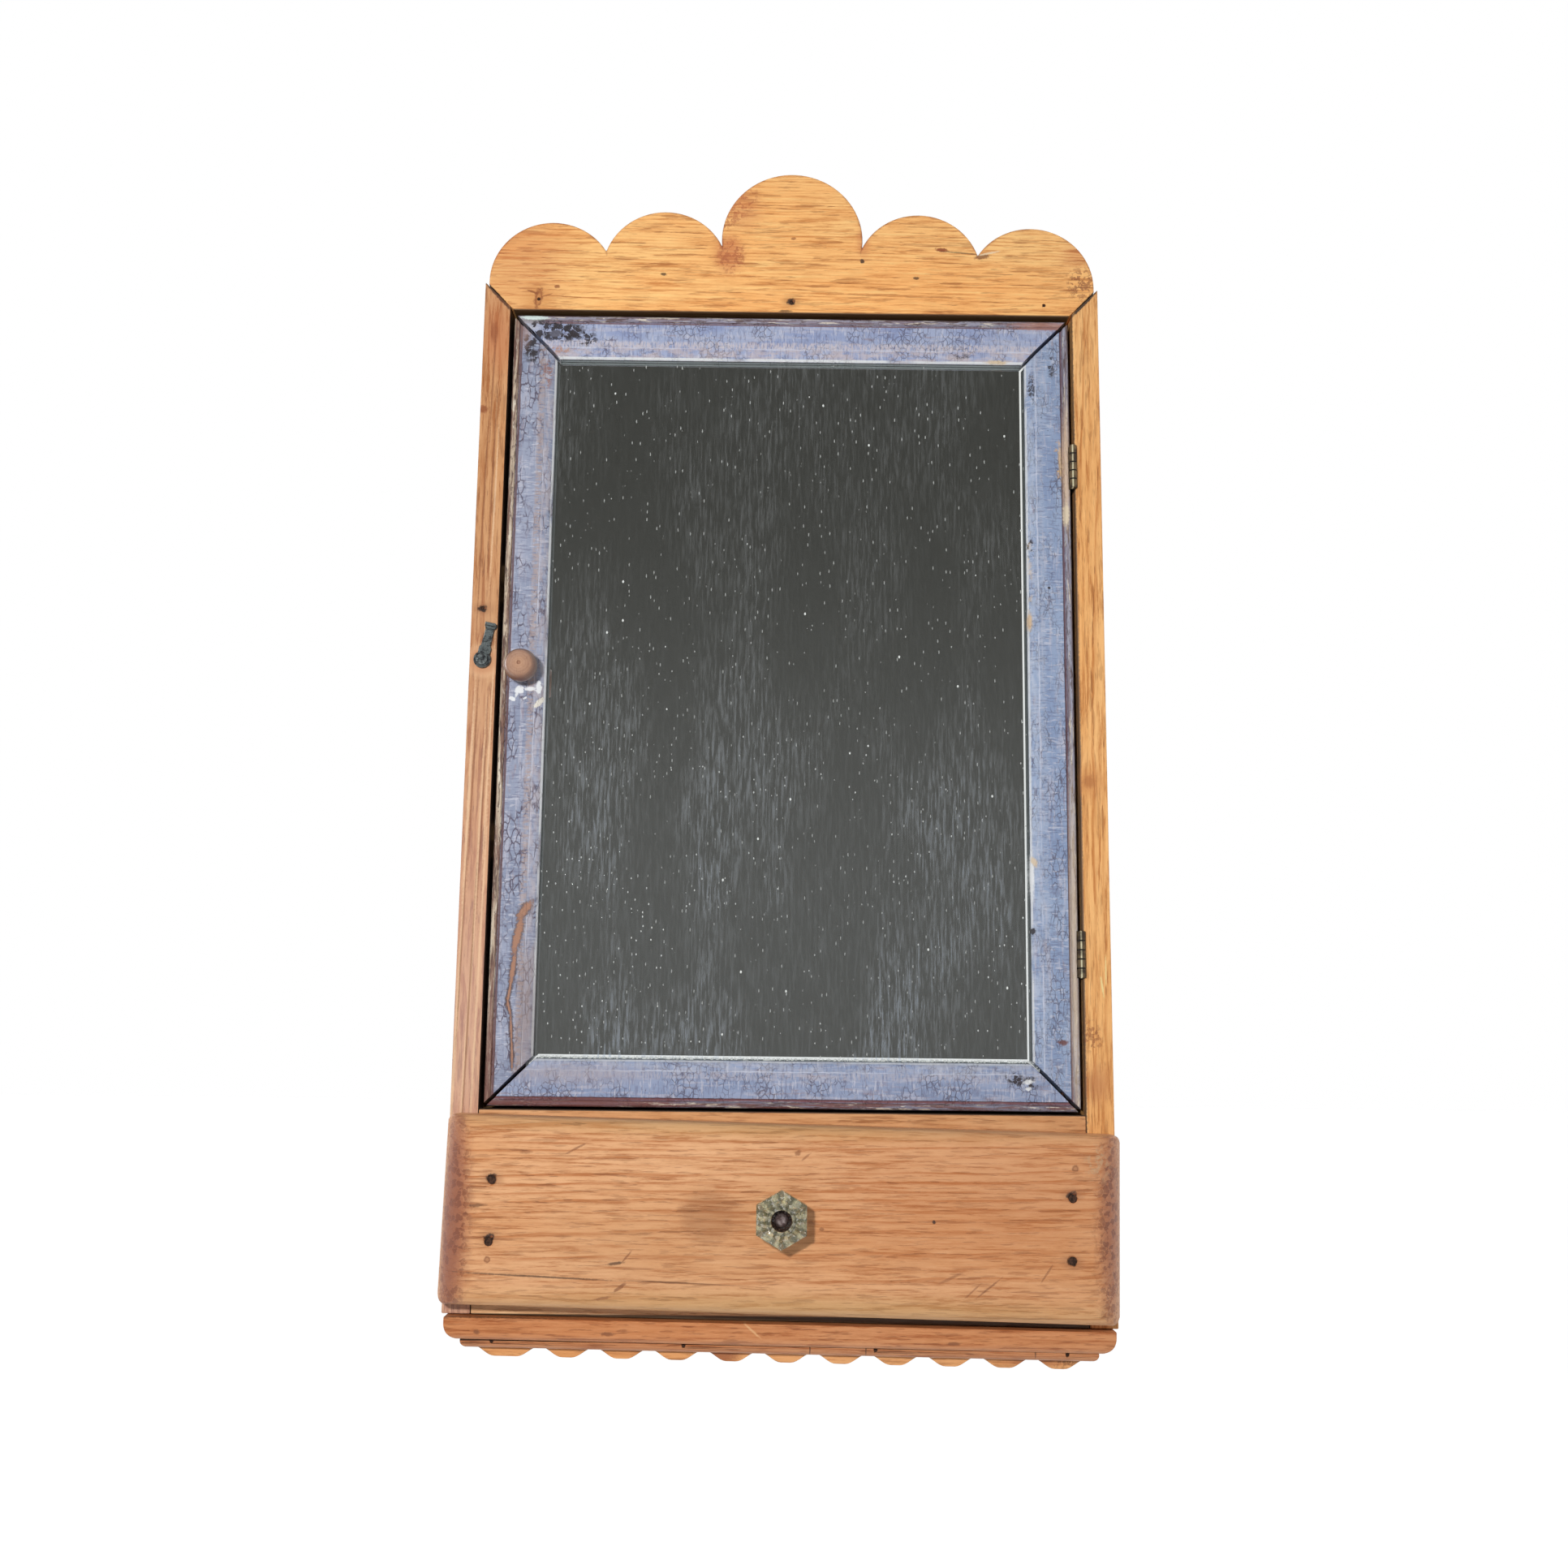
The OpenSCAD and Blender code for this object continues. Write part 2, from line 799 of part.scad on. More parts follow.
module left_stile() {
    color(pine)
        difference() {
            stile(-1);
            latch_screw_hole();
        }
}

module right_stile() {
    color(pine)
        difference() {
            stile(1);
            for (z = [upper_hinge_z, lower_hinge_z])
                hinge_gain(1, z);
            at_hinge_screws(1)
                screw_hole(hinge_screw_len, hinge_screw_r);
        }
}

// The crown's scalloped outline, before its lower corners are mitred
module crown_lobes() {
    crown_half = half_w - crown_inset;
    outer_x = crown_half - outer_lobe_r;
    shoulder_x = (2 * middle_lobe_r + outer_x) / 3;
    translate([-crown_half, 0])
        square([2 * crown_half, outer_lobe_h]);
    translate([past - middle_lobe_r, 0])
        square([2 * (middle_lobe_r - past), middle_lobe_h]);
    translate([0, middle_lobe_h])
        circle(middle_lobe_r);
    for (side = [-1, 1]) {
        translate([side * shoulder_x, shoulder_lobe_h])
            circle(shoulder_lobe_r);
        translate([side * outer_x, outer_lobe_h])
            circle(outer_lobe_r);
    }
}

module crown_board() {
    reach = 3 * middle_lobe_r;
    crown_foot = opening_half - mitre_shift;
    color(pine)
        difference() {
            slab(front_y, frame_t)
                translate([0, opening_top])
                    intersection() {
                        crown_lobes();
                        polygon([
                            [-crown_foot, 0],
                            [crown_foot, 0],
                            [crown_foot + reach, reach],
                            [-crown_foot - reach, reach]
                        ]);
                    }
            face_nail_holes();
        }
}

module middle_rail() {
    color(pine)
        box([joint_gap - opening_half, front_y, divider_under],
            [opening_half - joint_gap, frame_back_y, opening_bottom]);
}

module bottom_rail() {
    color(pine)
        difference() {
            box([joint_gap - opening_half, front_y, foot - board_t],
                [opening_half - joint_gap, frame_back_y, drawer_floor]);
            below_foot();
        }
}

// Base

module base_board() {
    color(pine)
        difference() {
            on_base()
                translate([0, 0, -base_gap])
                    intersection() {
                        slab(front_y - base_proj, case_d + base_proj)
                            rounded_below(base_w, base_t, base_corner_r);
                        run_x(-base_w, 2 * base_w)
                            rounded_front(front_y - base_proj, case_d + base_proj, base_t, base_edge_r);
                    }
            base_nail_holes();
        }
}

module base_moulding() {
    color(pine)
        difference() {
            on_base()
                translate([0, 0, trim_top])
                    intersection() {
                        slab(moulding_y, moulding_d)
                            rounded_below(moulding_w, moulding_h, moulding_r);
                        run_x(-base_w, 2 * base_w)
                            rounded_front(moulding_y, moulding_d, moulding_h, moulding_r);
                    }
            moulding_brad_holes();
        }
}

// Where the scallops start and end along the apron
scallop_ends = concat(
    [-apron_w / 2],
    [for (k = [1:scallops - 1]) first_scallop_extra - apron_w / 2 + k * scallop_pitch],
    [apron_w / 2]
);
slope_steps = 8;

// Depth of the apron's edge at a share t of one slope
function slope_depth(t) = -scallop_h * (1 - cos(180 * t)) / 2;

// The points of scallop k: down one slope, along the flat and up the other slope
function scallop(k) = concat(
    [for (i = [0:slope_steps])
        [scallop_ends[k] + scallop_slope * i / slope_steps, slope_depth(i / slope_steps)]],
    [for (i = [slope_steps:-1:1])
        [scallop_ends[k + 1] - scallop_slope * i / slope_steps, slope_depth(i / slope_steps)]]
);

module scalloped_apron() {
    edge = [for (k = [0:scallops - 1]) each scallop(k)];
    color(old_pine)
        difference() {
            on_base()
                translate([0, 0, trim_top])
                    slab(apron_y, apron_t)
                        translate([0, -moulding_h])
                            polygon(concat(edge, [
                                [apron_w / 2, 0],
                                [apron_w / 2, moulding_h],
                                [-apron_w / 2, moulding_h]
                            ]));
            moulding_brad_holes();
        }
}

// The brads through the moulding into the apron
module at_moulding_brads() {
    on_base()
        for (k = [0:moulding_brad_count - 1])
            translate([k * moulding_brad_pitch - moulding_brad_x, moulding_y, trim_top - moulding_h + moulding_r])
                rotate([90, 0, 0])
                    children();
}

module moulding_brad_holes() {
    at_moulding_brads()
        nail_hole(moulding_d + apron_t / 2, brad_r, brad_r, brad_r);
}

module moulding_brads() {
    color(nail_steel)
        at_moulding_brads()
            nail(moulding_d + apron_t / 2, brad_r, brad_r, brad_r);
}

module case_nails() {
    color(nail_steel)
        at_case_nails()
            nail(long_nail, nail_r, nail_head_r, nail_head_t);
}

module back_nails() {
    color(nail_steel)
        at_back_nails()
            nail(back_nail, nail_r, nail_head_r, nail_head_t);
}

module face_nails() {
    color(nail_steel)
        at_face_nails()
            nail(brad_len, brad_r, brad_r, brad_r);
}

module base_nails() {
    color(nail_steel)
        at_base_nails()
            nail(long_nail, nail_r, nail_head_r, nail_head_t);
}

// Door

// One member's section: the outer edge at 0, running inward, with the front at 0 and the back below
module door_section() {
    flat_end = door_frame_w - ovolo_r - ovolo_step;
    difference() {
        union() {
            translate([bead_w / 2, -bead_w / 2])
                circle(bead_w / 2);
            translate([0, -door_t])
                square([bead_w, door_t - bead_w / 2]);
            translate([bead_w / 2, -door_t])
                square([bead_w / 2 + quirk_w, door_t - quirk_d]);
            translate([bead_w + quirk_w, -door_t])
                square([flat_end - bead_w - quirk_w, door_t]);
            translate([flat_end - past, -door_t])
                square([ovolo_step + past, door_t - ovolo_step]);
            translate([flat_end, -door_t])
                square([door_frame_w - flat_end, door_t - ovolo_step - ovolo_r]);
            translate([door_frame_w - ovolo_r, -ovolo_step - ovolo_r])
                intersection() {
                    circle(ovolo_r);
                    square(ovolo_r);
                }
        }
        translate([door_frame_w - rabbet_w, -door_t - past])
            square([rabbet_w + past, door_t + past - lip_t]);
    }
}

// A member of the given length along X, its outer edge at the top and mitred at both ends
module door_member(length) {
    intersection() {
        translate([-length / 2, door_y, 0])
            rotate([90, 0, 90])
                linear_extrude(length)
                    mirror([1, 0])
                        rotate(-90)
                            door_section();
        slab(door_y - past, door_t + 2 * past)
            polygon([
                [joint_gap - length / 2, past],
                [length / 2 - joint_gap, past],
                [length / 2 - joint_gap - door_frame_w - past, -door_frame_w],
                [joint_gap - length / 2 + door_frame_w + past, -door_frame_w]
            ]);
    }
}

// The two nails in each end of the top and bottom rails
module at_corner_nails() {
    for (side = [-1, 1]) {
        translate([side * (door_half - door_frame_w / 3), door_y + door_t / 2, door_top])
            children();
        translate([side * (door_half - door_frame_w / 3), door_y + door_t / 2, door_bottom])
            rotate([180, 0, 0])
                children();
    }
}

module corner_nail_holes() {
    at_corner_nails()
        nail_hole(long_nail, nail_r, nail_head_r, nail_head_t);
}

module door_corner_nails() {
    color(nail_steel)
        at_corner_nails()
            nail(long_nail, nail_r, nail_head_r, nail_head_t);
}

module door_top_rail() {
    color(blue_paint)
        difference() {
            translate([0, 0, door_top])
                door_member(2 * door_half);
            corner_nail_holes();
            strip_brad_holes();
        }
}

module door_bottom_rail() {
    color(blue_paint)
        difference() {
            translate([0, 0, door_bottom])
                rotate([0, 180, 0])
                    door_member(2 * door_half);
            corner_nail_holes();
            strip_brad_holes();
        }
}

module door_left_stile() {
    color(blue_paint)
        difference() {
            translate([-door_half, 0, (door_top + door_bottom) / 2])
                rotate([0, -90, 0])
                    door_member(door_h);
            corner_nail_holes();
            strip_brad_holes();
            at_knob()
                translate([0, 0, -door_t])
                    rotate([180, 0, 0]) {
                        screw_hole(door_t + past, knob_screw_r);
                        translate([0, 0, -knob_head_r + knob_screw_r])
                            cylinder(h = knob_head_r - knob_screw_r, r1 = knob_screw_r + nail_fit, r2 = knob_head_r + nail_fit);
                    }
        }
}

module door_right_stile() {
    color(blue_paint)
        difference() {
            translate([door_half, 0, (door_top + door_bottom) / 2])
                rotate([0, 90, 0])
                    door_member(door_h);
            corner_nail_holes();
            strip_brad_holes();
            for (z = [upper_hinge_z, lower_hinge_z])
                hinge_gain(-1, z);
            at_hinge_screws(-1)
                screw_hole(hinge_screw_len, hinge_screw_r);
        }
}

// The mirror: a plate with a bevelled front edge
module mirror_glass() {
    y = door_y + lip_t;
    color(silver)
        intersection() {
            translate([0, 0, mirror_bottom])
                linear_extrude(mirror_top - mirror_bottom)
                    polygon([
                        [bevel_w - mirror_half_w, y],
                        [mirror_half_w - bevel_w, y],
                        [mirror_half_w, y + bevel_d],
                        [mirror_half_w, y + mirror_t],
                        [-mirror_half_w, y + mirror_t],
                        [-mirror_half_w, y + bevel_d]
                    ]);
            run_x(-mirror_half_w, 2 * mirror_half_w)
                polygon([
                    [y, mirror_bottom + bevel_w],
                    [y, mirror_top - bevel_w],
                    [y + bevel_d, mirror_top],
                    [y + mirror_t, mirror_top],
                    [y + mirror_t, mirror_bottom],
                    [y + bevel_d, mirror_bottom]
                ]);
        }
}

module mirror_backing() {
    y = door_y + lip_t + mirror_t;
    color(old_pine)
        box([-mirror_half_w, y, mirror_bottom], [mirror_half_w, y + backing_t, mirror_top]);
}

// The brads through the strips into the frame
module at_strip_brads() {
    y = (strip_y + door_back_y) / 2;
    mid = (rabbet_top + rabbet_bottom) / 2;
    for (side = [-1, 1], share = [-0.6, 0.6]) {
        translate([side * (rabbet_half_w - strip_w), y, mid + share * door_h / 2])
            rotate([0, -side * 90, 0])
                children();
        translate([share * door_half, y, mid + side * (rabbet_top - mid - strip_w)])
            rotate([side * 90 + 90, 0, 0])
                children();
    }
}

module strip_brad_holes() {
    at_strip_brads()
        nail_hole(strip_brad_len, strip_brad_r, strip_brad_r, strip_brad_r);
}

module strip_brads() {
    color(nail_steel)
        at_strip_brads()
            nail(strip_brad_len, strip_brad_r, strip_brad_r, strip_brad_r);
}

// Four strips that hold the backing in the rabbet
module mirror_strips() {
    color(old_pine)
        difference() {
            union() {
                for (z = [rabbet_bottom, rabbet_top - strip_w])
                    box([-rabbet_half_w, strip_y, z], [rabbet_half_w, door_back_y, z + strip_w]);
                for (x = [-rabbet_half_w, rabbet_half_w - strip_w])
                    box([x, strip_y, rabbet_bottom + strip_w + joint_gap],
                        [x + strip_w, door_back_y, rabbet_top - strip_w - joint_gap]);
            }
            strip_brad_holes();
        }
}

// Hinges

// The recess for one leaf, in the stile (side 1) or in the door's edge (side -1)
module hinge_gain(side, z) {
    far = hinge_x + side * barrel_r;
    near = hinge_x + side * (barrel_r - leaf_t - 4 * past);
    box([min(far, near), hinge_y - barrel_r, z - hinge_h / 2 - gain_clear],
        [max(far, near), hinge_y + leaf_w + gain_clear, z + hinge_h / 2 + gain_clear]);
}

// The places of the screws in one side's two leaves, with +Z out of each head
module at_hinge_screws(side) {
    for (z = [upper_hinge_z, lower_hinge_z], dz = [-hinge_screw_z, hinge_screw_z])
        translate([hinge_x + side * (barrel_r - leaf_t), hinge_y + hinge_screw_y, z + dz])
            rotate([0, -side * 90, 0])
                children();
}

// A leaf with its share of the knuckles, drawn round the pin
module hinge_leaf(side, first, bore_r) {
    near = side * (barrel_r - leaf_t);
    far = side * barrel_r;
    difference() {
        union() {
            box([min(near, far), plate_y, -hinge_h / 2], [max(near, far), leaf_w, hinge_h / 2]);
            for (k = [first:2:knuckles - 1])
                translate([0, 0, k * knuckle_pitch - hinge_h / 2]) {
                    cylinder(h = knuckle_pitch - knuckle_gap, r = barrel_r);
                    box([min(near, far), 0, 0], [max(near, far), plate_y, knuckle_pitch - knuckle_gap]);
                }
        }
        translate([0, 0, -hinge_h])
            cylinder(h = 2 * hinge_h, r = bore_r);
    }
}

// Countersunk holes for one side's screws
module leaf_screw_holes(side) {
    at_hinge_screws(side)
        translate([0, 0, -leaf_t - nail_fit])
            cylinder(h = leaf_t + 2 * nail_fit, r1 = hinge_screw_r + nail_fit, r2 = hinge_head_r + 2 * nail_fit);
}

module case_leaf(z) {
    color(aged_brass)
        difference() {
            translate([hinge_x, hinge_y, z])
                hinge_leaf(1, 0, pin_r + nail_fit / 2);
            leaf_screw_holes(1);
        }
}

module door_leaf(z) {
    color(aged_brass)
        difference() {
            translate([hinge_x, hinge_y, z])
                hinge_leaf(-1, 1, pin_r + pin_clear);
            leaf_screw_holes(-1);
        }
}

module upper_hinge_case_leaf() {
    case_leaf(upper_hinge_z);
}

module lower_hinge_case_leaf() {
    case_leaf(lower_hinge_z);
}

module upper_hinge_door_leaf() {
    door_leaf(upper_hinge_z);
}

module lower_hinge_door_leaf() {
    door_leaf(lower_hinge_z);
}

module hinge_pin(z) {
    end = 0.3;
    color(aged_brass)
        translate([hinge_x, hinge_y, z - hinge_h / 2 - end])
            cylinder(h = hinge_h + 2 * end, r = pin_r);
}

module upper_hinge_pin() {
    hinge_pin(upper_hinge_z);
}

module lower_hinge_pin() {
    hinge_pin(lower_hinge_z);
}

module case_hinge_screws() {
    color(aged_brass)
        at_hinge_screws(1)
            flat_screw(hinge_screw_len, hinge_screw_r, hinge_head_r, leaf_t);
}

module door_hinge_screws() {
    color(aged_brass)
        at_hinge_screws(-1)
            flat_screw(hinge_screw_len, hinge_screw_r, hinge_head_r, leaf_t);
}

// Door knob

module at_knob() {
    translate([knob_x, door_y, knob_z])
        rotate([90, 0, 0])
            children();
}

// Half the turned knob's outline: foot, neck, and a head that is nearly flat in front
module knob_outline() {
    head_len = knob_len - knob_neck_len;
    difference() {
        union() {
            square([knob_neck_r, knob_neck_len + head_len * knob_wide_share]);
            square([knob_foot_r, knob_foot_t]);
            intersection() {
                translate([0, knob_neck_len + head_len * knob_wide_share])
                    circle(knob_r);
                translate([0, knob_neck_len])
                    square([knob_r, head_len]);
                translate([0, knob_len - knob_face_r])
                    circle(knob_face_r);
            }
        }
        translate([0, knob_len])
            circle(knob_dimple_r);
        translate([-past, -past])
            square([knob_screw_r + nail_fit + past, knob_len - knob_screw_stop + past]);
    }
}

module door_knob() {
    color(knob_wood)
        at_knob()
            rotate_extrude()
                intersection() {
                    knob_outline();
                    square([knob_r + past, knob_len + past]);
                }
}

module door_knob_screw() {
    color(nail_steel)
        at_knob()
            translate([0, 0, -door_t])
                rotate([180, 0, 0])
                    flat_screw(door_t + knob_len - knob_screw_stop - past, knob_screw_r, knob_head_r, knob_head_r - knob_screw_r);
}

// Turn button

module at_latch() {
    translate([latch_x, front_y - latch_gap, latch_z])
        rotate([90, 0, 0])
            children();
}

module turn_button() {
    color(black_iron)
        at_latch()
            rotate(latch_angle)
                difference() {
                    union() {
                        cylinder(h = latch_t, r = latch_boss_r);
                        box([0, -latch_arm_w / 2, 0], [latch_reach - thumb_t, latch_arm_w / 2, latch_t]);
                        box([latch_reach - thumb_t, -latch_arm_w / 2 - thumb_lip, 0],
                            [latch_reach, latch_arm_w / 2 + thumb_lip, latch_t + thumb_h]);
                        // a raised rib along the arm
                        box([latch_boss_r, -latch_arm_w / 6, 0],
                            [latch_reach - thumb_t, latch_arm_w / 6, latch_t + latch_rib_h]);
                    }
                    translate([0, 0, -past])
                        cylinder(h = latch_t + 2 * past, r = latch_screw_r + latch_clear);
                }
}

module latch_screw_hole() {
    at_latch()
        screw_hole(latch_screw_len + latch_gap, latch_screw_r);
}

// A round-headed slotted screw that the button turns on
module latch_screw() {
    dome_r = 1.6 * latch_head_r;
    dome_z = latch_t + latch_clear;
    color(black_iron)
        at_latch()
            difference() {
                union() {
                    translate([0, 0, -latch_gap - latch_screw_len])
                        cylinder(h = latch_screw_len + latch_gap + latch_t + latch_head_h / 2, r = latch_screw_r);
                    translate([0, 0, dome_z])
                        rotate_extrude()
                            intersection() {
                                translate([0, latch_head_h - dome_r])
                                    circle(dome_r);
                                square([latch_head_r, latch_head_h]);
                            }
                }
                rotate(latch_slot_turn)
                    box([-latch_head_r - past, -latch_slot_w / 2, dome_z + latch_head_h / 2],
                        [latch_head_r + past, latch_slot_w / 2, dome_z + 2 * latch_head_h]);
            }
}

// Drawer

// Pieces of the front are drawn round its middle, then sloped
module on_drawer_front() {
    translate([0, 0, front_mid])
        rotate([0, drawer_skew, 0])
            children();
}

module at_front_nails() {
    on_drawer_front()
        for (side = [-1, 1], dz = [-front_nail_span / 2, front_nail_span / 2])
            translate([side * (drawer_w / 2 - drawer_side_t / 2), front_back_y - front_t, dz])
                rotate([90, 0, 0])
                    children();
}

module front_nail_holes() {
    at_front_nails()
        nail_hole(long_nail, nail_r, nail_head_r, nail_head_t);
}

module drawer_front() {
    y = front_back_y - front_t;
    color(pine)
        difference() {
            on_drawer_front()
                intersection() {
                    // seen from the front
                    slab(y, front_t)
                        rounded_rectangle(front_w, front_h, corner_r);
                    // seen from above: rounded ends
                    translate([0, front_back_y, -front_h])
                        linear_extrude(2 * front_h)
                            rounded_below(front_w, front_t, end_r);
                    // seen from the end: rounded top and bottom edges
                    run_x(-front_w, 2 * front_w)
                        union() {
                            translate([y, edge_r - front_h / 2])
                                square([front_t, front_h - 2 * edge_r]);
                            translate([y + edge_r, -front_h / 2])
                                square([front_t - edge_r, front_h]);
                            for (side = [-1, 1])
                                translate([y + edge_r, side * (front_h / 2 - edge_r)])
                                    circle(edge_r);
                        }
                }
            front_nail_holes();
            at_glass_knob()
                screw_hole(front_t + past, bolt_r);
        }
}

module at_drawer_back_nails() {
    for (side = [-1, 1], dz = [0, back_corner_nail_span])
        translate([side * drawer_w / 2, drawer_end_y - drawer_side_t / 2, drawer_base + back_corner_nail_rise + dz])
            rotate([0, side * 90, 0])
                children();
}

module drawer_back_nail_holes() {
    at_drawer_back_nails()
        nail_hole(long_nail, nail_r, nail_head_r, nail_head_t);
}

module drawer_side(side) {
    outer = side * drawer_w / 2;
    inner = side * drawer_inner_half;
    groove_z = drawer_base + groove_rise;
    color(old_pine)
        difference() {
            box([min(outer, inner), front_back_y, drawer_base], [max(outer, inner), drawer_end_y, drawer_base + drawer_h]);
            box([min(inner - past * side, inner + groove_d * side), front_back_y - past, groove_z],
                [max(inner - past * side, inner + groove_d * side), drawer_end_y + past, groove_z + drawer_bottom_t]);
            front_nail_holes();
            drawer_back_nail_holes();
        }
}

module drawer_left_side() {
    drawer_side(-1);
}

module drawer_right_side() {
    drawer_side(1);
}

module drawer_back() {
    color(old_pine)
        difference() {
            box([-drawer_inner_half, drawer_end_y - drawer_side_t, drawer_base + groove_rise + drawer_bottom_t],
                [drawer_inner_half, drawer_end_y, drawer_base + drawer_h]);
            drawer_back_nail_holes();
        }
}

module drawer_bottom() {
    half = drawer_inner_half + groove_d - guide_clear / 2;
    z = drawer_base + groove_rise;
    color(old_pine)
        box([-half, front_back_y, z], [half, drawer_end_y, z + drawer_bottom_t]);
}

module drawer_front_nails() {
    color(nail_steel)
        at_front_nails()
            nail(long_nail, nail_r, nail_head_r, nail_head_t);
}

module drawer_back_nails() {
    color(nail_steel)
        at_drawer_back_nails()
            nail(long_nail, nail_r, nail_head_r, nail_head_t);
}

// Glass knob

module at_glass_knob() {
    on_drawer_front()
        translate([0, front_back_y - front_t, glass_knob_rise])
            rotate([90, 0, 0])
                rotate(-glass_knob_turn)
                    children();
}

// Half the knob's round envelope: foot, waisted neck and head, with the bolt's hole and recess
module glass_outline() {
    corner = glass_w / sqrt(3);
    head_z = glass_len - glass_head_t;
    foot_t = 2;
    flare = 3;
    difference() {
        union() {
            square([glass_foot_r, foot_t]);
            square([glass_neck_r, glass_len]);
            polygon([[0, foot_t], [glass_foot_r, foot_t], [glass_neck_r, foot_t + flare], [0, foot_t + flare]]);
            polygon([[0, head_z - flare], [glass_neck_r, head_z - flare], [corner, head_z], [0, head_z]]);
            translate([0, head_z])
                square([corner, glass_head_t]);
        }
        translate([-past, -past])
            square([bolt_r + nail_fit + past, glass_len + 2 * past]);
        translate([-past, glass_len - glass_recess_d])
            square([glass_recess_r + past, glass_recess_d + past]);
    }
}

// Two opposite flats of the hexagon, each with its sloping facet in front
module glass_flats(turn) {
    half = glass_w / 2;
    rotate(turn)
        rotate([90, 0, 0])
            translate([0, 0, -glass_w])
                linear_extrude(2 * glass_w)
                    polygon([
                        [-half, -past],
                        [half, -past],
                        [half, glass_len - glass_facet_d],
                        [half * glass_front_share, glass_len],
                        [-half * glass_front_share, glass_len],
                        [-half, glass_len - glass_facet_d]
                    ]);
}

module glass_knob() {
    color(olive_glass)
        at_glass_knob()
            intersection() {
                rotate_extrude()
                    glass_outline();
                glass_flats(0);
                glass_flats(60);
                glass_flats(120);
            }
}

// A round-headed bolt through the knob and the drawer front
module glass_knob_bolt() {
    seat = glass_len - glass_recess_d;
    tail = 2;
    through = front_t + nut_t + tail;
    color(black_iron)
        at_glass_knob()
            union() {
                translate([0, 0, -through])
                    cylinder(h = through + seat + past, r = bolt_r);
                translate([0, 0, seat])
                    rotate_extrude()
                        intersection() {
                            circle(bolt_head_r);
                            square([bolt_head_r, bolt_head_r]);
                        }
            }
}

module glass_knob_nut() {
    color(nail_steel)
        at_glass_knob()
            translate([0, 0, -front_t - nut_t])
                difference() {
                    cylinder(h = nut_t, r = nut_w / sqrt(3), $fn = 6);
                    translate([0, 0, -past])
                        cylinder(h = nut_t + 2 * past, r = bolt_r + nail_fit);
                }
}

left_side();
right_side();
top_board();
bottom_board();
divider_board();
back_plank_left();
back_plank_centre();
back_plank_right();
hanging_rail();
shelf_upper();
shelf_lower();
shelf_cleats();
drawer_guides();
left_stile();
right_stile();
crown_board();
middle_rail();
bottom_rail();
base_board();
base_moulding();
scalloped_apron();
case_nails();
back_nails();
face_nails();
base_nails();
moulding_brads();
upper_hinge_case_leaf();
lower_hinge_case_leaf();
upper_hinge_pin();
lower_hinge_pin();
case_hinge_screws();
latch_screw();
door_top_rail();
door_bottom_rail();
door_left_stile();
door_right_stile();
door_corner_nails();
mirror_glass();
mirror_backing();
mirror_strips();
strip_brads();
upper_hinge_door_leaf();
lower_hinge_door_leaf();
door_hinge_screws();
door_knob();
door_knob_screw();
turn_button();
drawer_front();
drawer_left_side();
drawer_right_side();
drawer_back();
drawer_bottom();
drawer_front_nails();
drawer_back_nails();
glass_knob();
glass_knob_bolt();
glass_knob_nut();
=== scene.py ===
# %% [markdown]
# # Dressing a hanging medicine cabinet
#
# The cabinet is an old home-made one: an orange pine case with a scalloped crown, a mirrored door in
# blue milk paint, a turn button, and a drawer with a pressed glass knob. Its boards, hinges and nails were
# drawn in CAD and arrive here as a fixed frame. This lesson gives each of them its finish, rubs the edges of
# the boards round, and models the small cast and pressed pieces again with more detail.

# %% Load the imported cabinet
import json
import math

import bpy
from mathutils import Matrix, Vector

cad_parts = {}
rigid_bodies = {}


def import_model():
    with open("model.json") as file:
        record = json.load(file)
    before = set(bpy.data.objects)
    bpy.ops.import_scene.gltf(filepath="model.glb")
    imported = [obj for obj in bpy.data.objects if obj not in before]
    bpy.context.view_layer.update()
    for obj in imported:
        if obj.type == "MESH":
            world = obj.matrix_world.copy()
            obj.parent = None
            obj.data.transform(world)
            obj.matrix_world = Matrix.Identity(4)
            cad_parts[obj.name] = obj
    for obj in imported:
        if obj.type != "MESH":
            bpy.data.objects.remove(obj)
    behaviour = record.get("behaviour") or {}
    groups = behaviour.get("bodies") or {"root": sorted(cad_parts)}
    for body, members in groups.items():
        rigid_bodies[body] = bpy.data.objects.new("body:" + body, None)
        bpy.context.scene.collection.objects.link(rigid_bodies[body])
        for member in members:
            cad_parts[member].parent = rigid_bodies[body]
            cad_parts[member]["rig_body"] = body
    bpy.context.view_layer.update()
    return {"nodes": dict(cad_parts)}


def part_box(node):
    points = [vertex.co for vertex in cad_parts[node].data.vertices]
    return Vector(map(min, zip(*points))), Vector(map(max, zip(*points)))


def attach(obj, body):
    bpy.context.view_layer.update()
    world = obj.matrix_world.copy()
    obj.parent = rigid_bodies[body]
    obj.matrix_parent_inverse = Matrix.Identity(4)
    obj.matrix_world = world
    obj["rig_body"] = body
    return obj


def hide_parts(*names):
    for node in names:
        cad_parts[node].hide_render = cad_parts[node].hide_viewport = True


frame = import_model()
bpy.ops.object.select_all(action="DESELECT")

# %% [markdown]
# ## Millimetres and seen colours
#
# The drawing is in millimetres and Blender works in metres, so `mm` turns one into the other. A colour that
# the eye reads as 0 to 255 is stored by Blender as light, so `seen` bends it to linear values. Both are used
# in every later cell, and keep the numbers in the form in which a maker would note them.

# %% Millimetres and colours
def mm(*values):
    """Millimetres of the drawing as metres of the scene."""
    metres = [value / 1000 for value in values]
    return metres[0] if len(metres) == 1 else Vector(metres)


def seen(red, green, blue):
    """A colour as the eye reads it, 0 to 255, as the linear colour that a shader wants."""
    linear = []
    for value in (red, green, blue):
        share = value / 255
        linear.append(share / 12.92 if share <= 0.04045 else ((share + 0.055) / 1.055) ** 2.4)
    return (*linear, 1.0)


